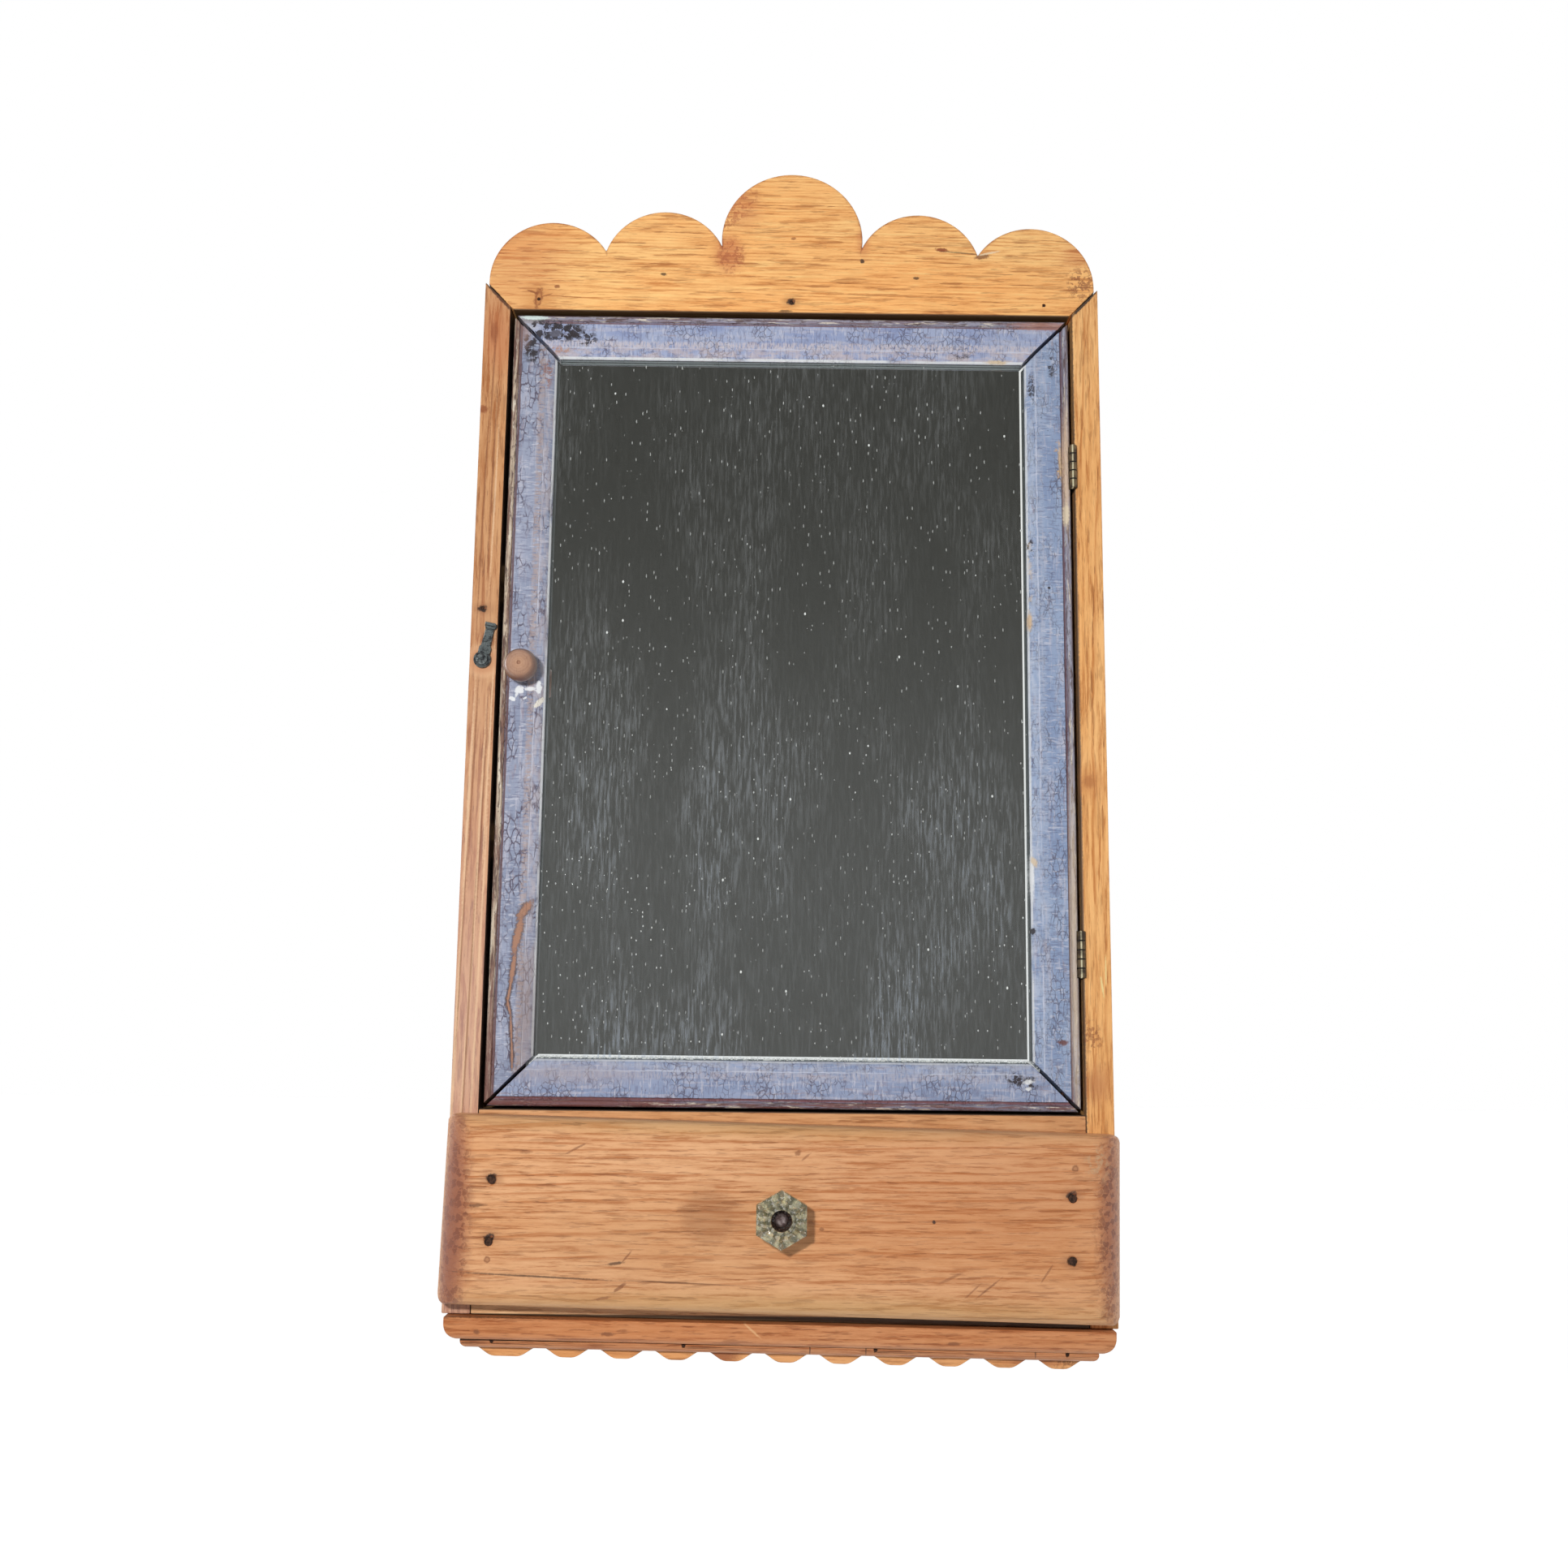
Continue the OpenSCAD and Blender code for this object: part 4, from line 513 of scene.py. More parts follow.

# %% [markdown]
# The drawer front is a thick plain board. Its lines are wide apart near the lower edge and closer above, so the
# heart of the tree lies behind and below it. The rounded ends show rough reddish end grain, the upper and lower
# edges are olive from handling, and two pairs of nails, some dents and old scratches tell its age. A faint
# darker six-sided patch beside the knob is a painted shadow of the knob.

# %% Drawer front
END_RED, END_DARK, OLIVE = (158, 98, 70), (108, 58, 40), (178, 142, 88)
drawer_pine = pine("drawer pine", "x", (0, 0, -560), 2.5, (216, 162, 117), wander=4, taper=-0.012, fleck=0.7,
                   y=-159.3, line_share=1.0, grain=0.85, coat=0.12, depth=0.0003, marks=[
    (0, -417, 175, 8, -0.7, OLIVE, 0.5, 0.6, 0), (0, -512, 175, 10, -0.7, OLIVE, 0.5, 0.6, 0),
    (105, -456, 85, 34, 0, (180, 104, 54), 0.36, 0.9, 0), (-60, -480, 60, 20, 0, (180, 132, 90), 0.25, 0.9, 0),
    (-170, -465, 14, 62, 0, END_RED, 0.9, 0.35, 0), (-170, -465, 14, 62, 0, END_DARK, 0.75, 0.4, 0.2, 300),
    (-170, -465, 9, 62, 0, (132, 78, 58), 0.7, 0.6, 0), (172, -468, 13, 62, 0, END_RED, 0.85, 0.4, 0),
    (172, -468, 14, 62, 0, END_DARK, 0.7, 0.4, 0.2, 330), (158, -437, 6, 8, 0, (190, 158, 124), 0.6, 0.6, 0, 420),
    # A painted shadow of the glass knob: three overlapping patches make a six-sided shape.
    (-33, -464, 17, 11, 0, (140, 90, 56), 0.2, 0.25, 0), (-38, -464, 12, 15, 30, (140, 90, 56), 0.14, 0.25, 0),
    (-36, -464, 12, 15, -30, (140, 90, 56), 0.14, 0.25, 0), *nail_marks(-144.8, -446.8), *nail_marks(-144.8, -475.8),
    *nail_marks(144.9, -452.3), *nail_marks(144.8, -484.4), *filled_hole(-145.6, -486.3), *filled_hole(146.8, -439.2),
    (-128, -434, 3, 1, 0, NAIL_HALO, 0.5, 0.4, 0.4), (-151.7, -460.3, 4, 0.7, 4, NAIL_RUST, 0.55, 0.5, 0.8),
    (-120.6, -494.2, 37, 0.4, -2.4, NAIL_RUST, 0.7, 0.5, 1.0), (-50, -496.5, 26, 0.35, -2, NAIL_RUST, 0.5, 0.6, 0.6),
    (-82, -487.5, 4, 0.7, 8, NAIL_RUST, 0.75, 0.4, 0.9), (-76.5, -484.3, 3, 0.5, 50, NAIL_HALO, 0.6, 0.4, 0.6),
    (-79.5, -499, 3.5, 0.8, 35, NAIL_HALO, 0.7, 0.4, 0.8), (-88, -504.3, 4, 0.6, 10, NAIL_HALO, 0.6, 0.4, 0.6),
    (103, -497.5, 7, 0.4, 38, NAIL_HALO, 0.6, 0.5, 0.6), (95, -499, 5, 0.4, 42, NAIL_HALO, 0.5, 0.5, 0.5),
    (84, -493, 6, 0.7, 25, NAIL_HALO, 0.5, 0.6, 0.5), (131.8, -490.4, 5, 0.5, 55, NAIL_HALO, 0.5, 0.4, 0.5),
    (76, -466, 0.9, 0.9, 0, NAIL_RUST, 0.9, 0.3, 0.8), (8, -433, 1.6, 1.2, 40, NAIL_HALO, 0.65, 0.4, 0.5),
    (12, -435, 2.4, 0.5, 40, NAIL_HALO, 0.5, 0.4, 0.3), (-103, -432, 5, 0.5, 28, NAIL_HALO, 0.6, 0.4, 0.6),
    (20, -470, 1.2, 0.8, 0, NAIL_HALO, 0.6, 0.4, 0.3), (112, -417.8, 13, 0.7, -1, NAIL_RUST, 0.5, 0.6, 0.2)])[0]
print("drawer finish:", len(drawer_pine.node_tree.nodes), "nodes")

# %% [markdown]
# The base board, its moulding and the apron are the same pine, a little browner because hands and steam reach
# them first.

# %% Base, moulding and apron
base_pine = pine("base pine", "x", (0, 40, -640), 2.2, (200, 137, 91), wander=6, fleck=0.9, y=-147,
                 line_share=0.9, grain=0.9, coat=0.1, marks=[
    (-86.4, -523.5, 3.4, 0.9, 0, NAIL_HALO, 0.8, 0.4, 0.5), (86.8, -526.3, 3.6, 0.8, 0, NAIL_HALO, 0.8, 0.4, 0.5),
    (-151.6, -523, 1.4, 1.2, 0, NAIL_HALO, 0.8, 0.4, 0.5), (-14, -521, 5, 0.5, -40, (226, 180, 130), 0.7, 0.5, 0),
    # painted shade of the gap where the base board meets the foot rail
    (20, -516, 190, 0.65, 0, (40, 20, 14), 0.9, 0.5, 0.5)])[0]
# The moulding's top edge under the base board is darkened as painted shade.
moulding_pine = pine("moulding pine", "x", (0, 50, -700), 1.8, (192, 132, 89), fleck=0.9, y=-143, line_share=0.9,
                     grain=0.9, coat=0.1, painted_gap_shade=("z", -528.4, -527.6), marks=[
    (x, -530, 0.3, 4, 0, NAIL_RUST, 0.7, 0.4, 0.8) for x in (15.1, 43.2, 128.3)])[0]
apron_pine = pine("apron pine", "x", (0, 60, -680), 2.0, (222, 162, 106), fleck=0.7, y=-136, line_share=0.7, coat=0.1,
                  marks=[
    (-30, -535, 9, 4, 0, (128, 58, 34), 0.7, 0.5, 0), (128, -536, 14, 4, 0, (150, 76, 46), 0.5, 0.7, 0),
    (145, -534, 8, 5, 0, (90, 50, 32), 0.6, 0.5, 0.6, 500)])[0]
print("base finishes ready")

# %% [markdown]
# Inside and behind, the boards never had varnish. They are paler where the light didn't reach, grey-brown on
# the back, and rougher from the saw.

# %% Unvarnished boards
side_pine = pine("side pine", "z", (0, 30, 160), 2.6, (206, 152, 104), wander=8, taper=0.02, line_share=0.5,
                 coat=0.1)[0]
shelf_pine = pine("shelf pine", "x", (0, -60, -420), 3.0, (208, 170, 122), wander=8, fleck=0.5, rough=0.62,
                  line_share=0.5)[0]
back_pine = pine("back pine", "z", (0, 60, 35), 3.6, (168, 136, 102), wander=9, taper=0.015, fleck=0.7, rough=0.68,
                 depth=0.0004, line_share=0.6)[0]
cross_pine = pine("cleat pine", "y", (0, 200, -260), 3.0, (190, 152, 108), rough=0.65, line_share=0.5)[0]
plank_x_pine = pine("drawer inside pine", "x", (0, -90, -620), 3.4, (198, 160, 114), fleck=0.5, rough=0.65,
                    line_share=0.5)[0]
print("unvarnished finishes ready")

# %% [markdown]
# ## Giving a finish to CAD nodes, and rubbing edges round
#
# A CAD board whose shape is right keeps its mesh and only changes its material. A board seen close up is
# copied instead: the copy's loose triangles are merged into one skin, flat triangles are dissolved back into
# single faces, and a Bevel modifier rubs every sharp edge round by about the width that eighty years of
# hands leave. A Weighted Normal modifier keeps the wide faces flat beside their small round edges. The copy then
# stands for its node.

# %% Helpers for finished pieces
SAME_POINT = 0.00001  # corners closer than this, in metres, are one
SHARP = 32  # a board's edge that turns more than this, in degrees, is rubbed round


def pick_only(piece):
    """Deselects everything, then picks one piece and makes it active."""
    for other in bpy.context.selected_objects:
        other.select_set(False)
    piece.select_set(True)
    bpy.context.view_layer.objects.active = piece


def finish_in(piece, material):
    """Puts one material in every slot of a piece, and adds a slot where there is none."""
    if not piece.material_slots:
        piece.data.materials.append(material)
    for slot in piece.material_slots:
        slot.material = material


def merged_copy(node, name):
    """Copies a CAD node, goes into edit mode, and merges the corners of its loose triangles."""
    piece = bpy.data.objects.new(name, frame["nodes"][node].data.copy())
    bpy.context.scene.collection.objects.link(piece)
    pick_only(piece)
    bpy.ops.object.mode_set(mode="EDIT")
    bpy.ops.mesh.select_all(action="SELECT")
    bpy.ops.mesh.remove_doubles(threshold=SAME_POINT)
    return piece


def round_edges(piece, width, segments, angle, clamp=True):
    """Rounds every edge of a piece that is sharper than an angle in degrees."""
    rounded = piece.modifiers.new("rounded edges", "BEVEL")
    rounded.width, rounded.segments, rounded.use_clamp_overlap = mm(width), segments, clamp
    rounded.limit_method, rounded.angle_limit = "ANGLE", math.radians(angle)
    bpy.ops.object.modifier_apply(modifier=rounded.name)


def eased_board(node, name, material, width):
    """A copy of a CAD board with its edges worn round, which stands for that board."""
    board = merged_copy(node, name)
    bpy.ops.mesh.dissolve_limited(angle_limit=math.radians(1.0))
    bpy.ops.mesh.normals_make_consistent(inside=False)
    bpy.ops.object.mode_set(mode="OBJECT")
    round_edges(board, width, 2, SHARP, clamp=False)
    bpy.ops.object.shade_smooth_by_angle(angle=math.radians(SHARP))
    level_faces = board.modifiers.new("level faces", "WEIGHTED_NORMAL")
    level_faces.keep_sharp, level_faces.weight = True, 100
    bpy.ops.object.modifier_apply(modifier=level_faces.name)
    finish_in(board, material)
    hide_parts(node)
    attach(board, frame["nodes"][node]["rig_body"])
    print(name, "has", len(board.data.polygons), "faces")


for nodes, material in (
        (("left_side", "right_side"), side_pine),
        (("top_board", "bottom_board", "divider_board", "hanging_rail", "shelf_upper", "shelf_lower"), shelf_pine),
        (("back_plank_left", "back_plank_centre", "back_plank_right", "mirror_backing", "mirror_strips"), back_pine),
        (("shelf_cleats", "drawer_guides", "drawer_left_side", "drawer_right_side"), cross_pine),
        (("drawer_back", "drawer_bottom"), plank_x_pine)):
    for node in nodes:
        finish_in(frame["nodes"][node], material)
print("inner boards finished")

# %% Boards of the face
for node, name, material, width in (
        ("left_stile", "worn_left_stile", left_stile_pine, 0.6),
        ("right_stile", "worn_right_stile", right_stile_pine, 0.6),
        ("crown_board", "worn_crown", crown_pine, 0.7),
        ("middle_rail", "worn_middle_rail", rail_pine, 0.5),
        ("bottom_rail", "worn_bottom_rail", lightened_foot_rail_pine, 0.5),
        ("base_board", "worn_base_board", base_pine, 0.4),
        ("base_moulding", "worn_moulding", moulding_pine, 0.4),
        ("scalloped_apron", "worn_apron", apron_pine, 0.6),
        ("drawer_front", "worn_drawer_front", drawer_pine, 0.8)):
    eased_board(node, name, material, width)

# %% [markdown]
# The nails that come up through the base board stand where its ends are rounded below. A joiner drives such
# heads under the surface with a nail set, or they catch on hands and cloth, so the copy of these nails lies
# a little higher than the flush heads of the drawing.

# %% Nails set under the base board
SET_IN = 3.2  # how far in mm the heads lie above their drawn place
set_nails = merged_copy("base_nails", "set_base_nails")
bpy.ops.transform.translate(value=mm(0, 0, SET_IN))
bpy.ops.mesh.normals_make_consistent(inside=False)
bpy.ops.object.mode_set(mode="OBJECT")
bpy.ops.object.shade_smooth_by_angle(angle=math.radians(30))
print("nails under the base board:", len(set_nails.data.polygons), "faces")

# %% [markdown]
# ## The door's milk paint
#
# The four members of the door share one moulded section, so the paint is described by how far a point lies
# from the door's outer edge: first the bead, then the quirk beside it, the flat, and last the ovolo that
# leads down to the glass. Wear follows the moulding. The bead is rubbed to undercoat and bare wood, the quirk
# is dark red-brown, the flat keeps its blue under a net of fine cracks, and a paler worn band runs beside the
# ovolo. A pale line on the ovolo's arris and a thin white line on the crest beside the glass are painted
# highlights. The wall that drops to the glass is painted shade, with a painted highlight line where it meets
# the glass, and the outer edge, where the door shuts, is darkened as painted shade of the gap.

# %% Distance from the door's outer edge
half_width, top_edge = -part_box("door_left_stile")[0][0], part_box("door_top_rail")[1][2]
edge_group, given, out = new_group("door section", {}, ["From Edge"])
x, _, z = xyz(given["Vector"])
to_side = minus(half_width, calc("ABSOLUTE", x))
to_end = calc("MINIMUM", minus(top_edge, z), minus(z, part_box("door_bottom_rail")[0][2]))
plug(calc("MINIMUM", to_side, to_end), out, "From Edge")
print("door half width:", round(half_width, 4), "door top:", round(top_edge, 4))

# %% Milk paint
# Where each part of the moulded section starts and ends, in metres from the door's outer edge. The band at the
# shut edge is painted shade of the gap, the arris and the crest carry painted highlight lines, and the wall is
# painted shade.
SHUT_GAP_SHADE, BEAD, QUIRK = (0.0, 0.0006), (0.0033, 0.0037), (0.0036, 0.0050)
BAND, ARRIS_HIGHLIGHT = (0.0150, 0.0188), (0.0184, 0.0189)
OVOLO, CREST_UP, CREST_DOWN, WALL = (0.0186, 0.0250), (0.0231, 0.0235), (0.0241, 0.0243), (0.0242, 0.02435)
# The depth where a painted highlight line lies on the wall, beside the glass.
AT_GLASS = (-0.1338, -0.1334)  # the depth y where the wall meets the glass


def milk_paint(name, upright, blue, deep, bead, quirk, band, inner, crest_highlight_share, marks=(), crazed=0.75, cells=300.0):
    """Old blue milk paint on one member of the door. bead is its two colours, quirk one, band the worn strip's
    colour and share, inner the ovolo's colour and share, lip the share of the painted highlight line on the crest
    beside the glass, crazed the strength of the fine cracks, and cells their number to the metre."""
    material, surface, place = new_material(name, **{"Coat Weight": 0.15, "Coat Roughness": 0.35})
    from_edge = use(edge_group, {"Vector": place})[0]

    def streaks(length, width, detail=3, rough=0.7):
        """Noise drawn out along the member, with bumps to the metre along it and across it."""
        size = (width, width, length) if upright else (length, width, width)
        return noise(stretched(place, *size), 1.0, detail, rough)

    edge = times_plus(minus(streaks(160, 400, 3, 0.6), 0.5), 0.0014, from_edge)

    def strip(low, high, soft=0.0003):
        """A mask that is 1 between two distances from the edge, in metres."""
        return times(ramp(edge, low - soft, low + soft), ramp(edge, high - soft, high + soft, 1.0, 0.0))

    def over(under, mask, share, tint):
        """A colour with a share of a tint laid over it where the mask is 1."""
        return mix(times(mask, share), under, tint)

    cloud = streaks(28, 80, 4, 0.6)
    colour = mix(ramp(cloud, 0.36, 0.64), blue, deep)
    colour = over(colour, ramp(streaks(45, 420, 4), 0.5, 0.66), 0.55, (190, 188, 200))
    colour = over(colour, ramp(streaks(60, 300, 4), 0.58, 0.7), 0.6, (148, 132, 138))
    lines = ramp(streaks(950, 150, 3, 0.6), 0.52, 0.62)
    colour = over(colour, lines, 0.42, (98, 98, 124))
    colour = over(colour, ramp(streaks(800, 170, 3, 0.6), 0.57, 0.66), 0.5, (204, 204, 214))
    cell = stretched(place, 1.5, 1, 0.7) if upright else stretched(place, 1.2, 1, 0.9)
    cracks = use(crackle_group, {"Vector": cell, "Cells": cells, "Width": 0.12 * crazed})[0]
    colour = over(colour, cracks, crazed, (84, 76, 92))
    worn = times(strip(*BAND, 0.0008), ramp(streaks(900, 260), 0.4, 0.56))
    colour = over(colour, worn, band[1], band[0])
    colour = over(colour, times(strip(*OVOLO), ramp(streaks(90, 260, 4), 0.4, 0.6)), inner[1], inner[0])
    on_bead = mix(ramp(streaks(26, 560, 4), 0.42, 0.58), *bead)
    on_bead = over(on_bead, ramp(streaks(70, 700), 0.55, 0.63), 0.8, (222, 212, 194))
    on_bead = over(on_bead, ramp(streaks(60, 600), 0.45, 0.37), 0.85, (82, 60, 54))
    on_bead = over(on_bead, ramp(streaks(240, 620), 0.56, 0.62), 0.7, (92, 76, 74))
    colour = mix(ramp(edge, *BEAD, 1.0, 0.0), colour, on_bead)
    colour = over(colour, strip(*QUIRK), 0.88, quirk)
    # A pale line along the ovolo's arris: a painted highlight.
    colour = over(colour, times(strip(*ARRIS_HIGHLIGHT), ramp(streaks(24, 200, 3, 0.6), 0.35, 0.55)), 0.7, (206, 210, 224))
    # The thin white line on the crest beside the glass: a painted highlight.
    crest = times(ramp(from_edge, *CREST_UP), ramp(from_edge, *CREST_DOWN, 1.0, 0.0))
    colour = over(colour, times(crest, ramp(streaks(30, 100, 2, 0.6), 0.3, 0.45)), crest_highlight_share, (226, 228, 230))
    # The wall that drops to the glass: painted shade, and a painted highlight line where it meets the glass.
    wall = ramp(from_edge, *WALL)
    colour = over(colour, wall, 0.95, (60, 66, 64))
    colour = over(colour, times(wall, ramp(xyz(place)[1], *AT_GLASS)), 0.12 if upright else 0.6, (176, 186, 190))
    specks = ramp(noise(place, 420, 4, 0.75), 0.70, 0.73)
    colour = mix(specks, colour, (58, 50, 54))
    # The outer edge, where the door shuts: darkened as painted shade of the gap.
    colour = over(colour, ramp(from_edge, *SHUT_GAP_SHADE, 1.0, 0.0), 0.6, (44, 36, 38))
    height = times_plus(specks, -0.6, times_plus(cracks, -0.6, times(lines, 0.2)))
    height = times_plus(worn, -0.25, height)
    colour, height = lay_marks(place, -139, colour, height, marks)
    plug(colour, surface, "Base Color")
    plug(ramp(cloud, 0.3, 0.7, 0.4, 0.55), surface, "Roughness")
    bump(surface, height, 0.00035)
    return material


CHIP_DARK, CHIP_GREY, CHIP_WHITE = (44, 38, 42), (96, 96, 110), (228, 230, 232)
BARE_WOOD, CREAM = (166, 124, 102), (216, 192, 158)
WHITE_CHIP = CHIP_WHITE, 0.95, 0.2, 0.3


def split_marks(pieces):
    """A split in short lengths: each shows bare wood inside a thin dark outline."""
    outline = [(x, z, half_w + 0.8, half_h + 0.8, turn, (74, 56, 54), 0.85, 0.4, 0.6)
               for x, z, half_w, half_h, turn in pieces]
    return outline + [(*piece, BARE_WOOD, 0.95, 0.35, 0.2) for piece in pieces]


print("milk paint ready")

# %% [markdown]
# Each member has its own wear. The top rail is pinkish white beside the glass, with a cluster of black chips at
# its left mitre; the bottom rail has a red-brown bead. The left stile, which hands touch, is rubbed to cream
# and wood, with white chips under the knob and a long split that shows bare wood. The right stile is bluest,
# with cream wood bare at the upper hinge.

# %% Paint of the four members
top_paint = milk_paint(
    "milk paint top", False, (160, 170, 198), (140, 152, 188), ((150, 148, 164), (120, 100, 106)), (122, 92, 92),
    ((204, 194, 198), 0.7), ((196, 180, 178), 0.6), 0.95, marks=[
    (-146, 15, 7, 4, 0, (186, 186, 192), 0.6, 0.6, 0), (-143, 18.6, 7.4, 1.4, -2, (212, 226, 222), 0.95, 0.25, 0.3),
    (-133, 11, 18, 6, -4, CHIP_DARK, 0.95, 0.2, 0.7, 260), (-126, 10, 13, 5, 0, CHIP_DARK, 0.95, 0.2, 0.7, 420),
    (-131.3, 9.2, 3.4, 1.9, 8, CHIP_GREY, 0.95, 0.3, 0.5), (-114, 6, 6, 4, 0, CHIP_DARK, 0.9, 0.3, 0.6, 420),
    (-129, 0, 8, 2, 0, (176, 134, 114), 0.75, 0.5, 0.2, 460), (95, -0.8, 4, 1.6, 0, CHIP_DARK, 0.7, 0.5, 0.4, 800),
    (115, -3.4, 6, 0.8, 0, CREAM, 0.9, 0.4, 0.4), (140, 17, 16, 2.4, 0, (168, 120, 106), 0.75, 0.5, 0.1)])
bottom_paint = milk_paint(
    "milk paint bottom", False, (148, 160, 188), (132, 146, 176), ((126, 124, 140), (112, 76, 74)), (116, 66, 62),
    ((180, 176, 186), 0.5), ((176, 176, 186), 0.5), 0.5, marks=[
    (-110, -410.6, 48, 2.6, 0, (112, 70, 66), 0.8, 0.5, 0), (-110, -396, 34, 5, 0, (160, 150, 156), 0.5, 0.8, 0),
    (120, -396, 5, 3.2, -30, CHIP_DARK, 0.95, 0.4, 0.7, 420), (128, -398, 4, 3, 0, CHIP_DARK, 0.95, 0.4, 0.7, 480),
    (127, -397.5, 2.6, 1.2, 10, CHIP_WHITE, 0.95, 0.3, 0.2), (127, -401, 1.6, 1.0, 0, CHIP_WHITE, 0.9, 0.3, 0.2)])
left_paint = milk_paint(
    "milk paint left", True, (154, 160, 180), (136, 144, 166), ((196, 178, 156), (122, 92, 80)), (104, 78, 78),
    ((168, 150, 146), 0.75), ((176, 166, 170), 0.6), 0.9, marks=[
    (-145, 2, 5, 7, 0, CHIP_DARK, 0.95, 0.3, 0.6, 260), (-143, -3, 5, 5, 20, CHIP_DARK, 0.9, 0.3, 0.6, 340),
    (-135, -15, 3, 8, 0, (142, 104, 96), 0.8, 0.5, 0.2, 520), (-148, 12, 3, 10, 0, (150, 120, 110), 0.6, 0.7, 0),
    (-152.2, -395, 2.2, 40, 0, (120, 84, 76), 0.75, 0.6, 0), (-134, -370, 4.5, 34, 0, (140, 124, 122), 0.6, 0.8, 0),
    *split_marks(((-136.6, -311.5, 1.8, 5.6, -36), (-139.8, -325, 1.7, 10, -12), (-141.6, -342, 1.1, 9, -6),
                  (-143.1, -355, 0.55, 6, -8), (-142.9, -362.5, 0.5, 5, 14), (-141.3, -374, 0.5, 8, 4),
                  (-140.4, -387, 0.5, 7, 3))),
    (-143.7, -193.6, 2.4, 2.1, 20, *WHITE_CHIP), (-138.1, -193, 3.2, 1.1, 5, *WHITE_CHIP),
    (-133.5, -192.1, 1.5, 3.3, 0, *WHITE_CHIP), (-133, -200.1, 1.4, 3.9, -42, (222, 216, 204), 0.95, 0.2, 0.3),
    (-147.4, -198.5, 1.6, 1.1, -30, *WHITE_CHIP), (-140.5, -198, 1.1, 0.6, 30, CHIP_WHITE, 0.9, 0.2, 0.2),
    (-145, -196, 0.7, 1.8, -20, CHIP_WHITE, 0.85, 0.3, 0.2)], crazed=1.0, cells=230.0)
right_paint = milk_paint(
    "milk paint right", True, (150, 166, 194), (132, 149, 181), ((158, 160, 176), (128, 118, 128)), (106, 72, 74),
    ((176, 184, 202), 0.4), ((176, 186, 204), 0.55), 0.75, marks=[
    (148, -62, 2.0, 10, 3, (206, 166, 122), 0.9, 0.4, 0.4, 300),
    (148.8, -62, 1.2, 9, 3, (210, 178, 140), 0.85, 0.5, 0.3), (152, -64, 2.0, 30, 0, (214, 186, 158), 0.8, 0.6, 0.2),
    (151.6, -92, 1.8, 6, 0, (222, 206, 178), 0.9, 0.45, 0.3), (152, -330, 2.0, 80, 0, (208, 188, 164), 0.7, 0.7, 0.2),
    (144, -6, 2.0, 7, 8, CHIP_DARK, 0.85, 0.35, 0.4, 360), (133.5, -20, 1.7, 9, 0, CHIP_DARK, 0.85, 0.35, 0.4, 360),
    (131.6, -110, 1.8, 5, 0, CHIP_DARK, 0.9, 0.35, 0.5, 480), (131.4, -130, 1.2, 30, 0, CREAM, 0.4, 0.6, 0.2, 300),
    (131, -152, 1.3, 5, 0, (206, 176, 140), 0.9, 0.4, 0.3), (130.5, -290, 1.3, 12, 0, CHIP_WHITE, 0.9, 0.4, 0.3),
    (131.8, -283, 1.4, 3, 20, CREAM, 0.8, 0.4, 0.3), (130.5, -319.5, 1.6, 1.8, 0, CHIP_DARK, 0.95, 0.3, 1.0),
    (145.3, -377.3, 2.4, 1.4, 0, (110, 66, 60), 0.9, 0.4, 0.6),
    (141.6, -133.5, 0.7, 0.7, 0, CHIP_DARK, 0.95, 0.3, 0.8),
    (127.5, -392, 2.2, 3, 0, CHIP_WHITE, 0.7, 0.4, 0.3, 900)])
for node, name, material in (("door_top_rail", "painted_top_rail", top_paint),
                             ("door_bottom_rail", "painted_bottom_rail", bottom_paint),
                             ("door_left_stile", "painted_left_stile", left_paint),
                             ("door_right_stile", "painted_right_stile", right_paint)):
    eased_board(node, name, material, 0.3)

# %% [markdown]
# ## The mirror
#
# Silvered glass is a metal surface to the camera: it is smooth, so it shows the room, and here the room is a
# dark card behind the camera. What makes it look like glass and not like a hole is what lies on it: dust in
# specks and short dashes, the streaks of a cloth that wiped it downwards, which grow stronger towards the foot,
# and a crust of paint dust along the lower edge. A bluish tint that grows towards the foot is painted
# reflection.

# %% Mirror glass
mirror, surface, place = new_material("old mirror")
up = xyz(place)[2]


def dust_layer(drawn, cells, share, size):
    """Dust in a share of the cells, whose grains are drawn out upward."""
    return use(dust_group, {"Vector": stretched(place, 1, 1, drawn), "Cells": cells, "Share": share, "Size": size})[0]


drifts = times(ramp(noise(place, 22, 3, 0.6), 0.42, 0.6, 0.35, 1.0), ramp(up, -0.3, -0.05, 1.0, 0.35))
specks, dashes = dust_layer(0.62, 330.0, drifts, 0.15), dust_layer(0.3, 420.0, 0.6, 0.17)
crumbs = dust_layer(0.7, 120.0, 0.35, 0.08)
wiped = noise(stretched(place, 700, 1, 60), 1.0, 4, 0.8)
patch = noise(stretched(place, 18, 1, 7), 1.0, 3, 0.5)
haze = times(ramp(wiped, 0.44, 0.66), ramp(patch, 0.4, 0.62, 0.15, 1.0), ramp(up, -0.36, -0.12, 1.0, 0.3))
crust = times(ramp(up, -0.3880, -0.3862, 1.0, 0.0), ramp(noise(place, 700, 3, 0.7), 0.42, 0.6))
dust = calc("MAXIMUM", times(specks, times(drifts, 0.7)), times(dashes, 0.4))
dust = calc("MAXIMUM", dust, calc("MAXIMUM", crumbs, crust))
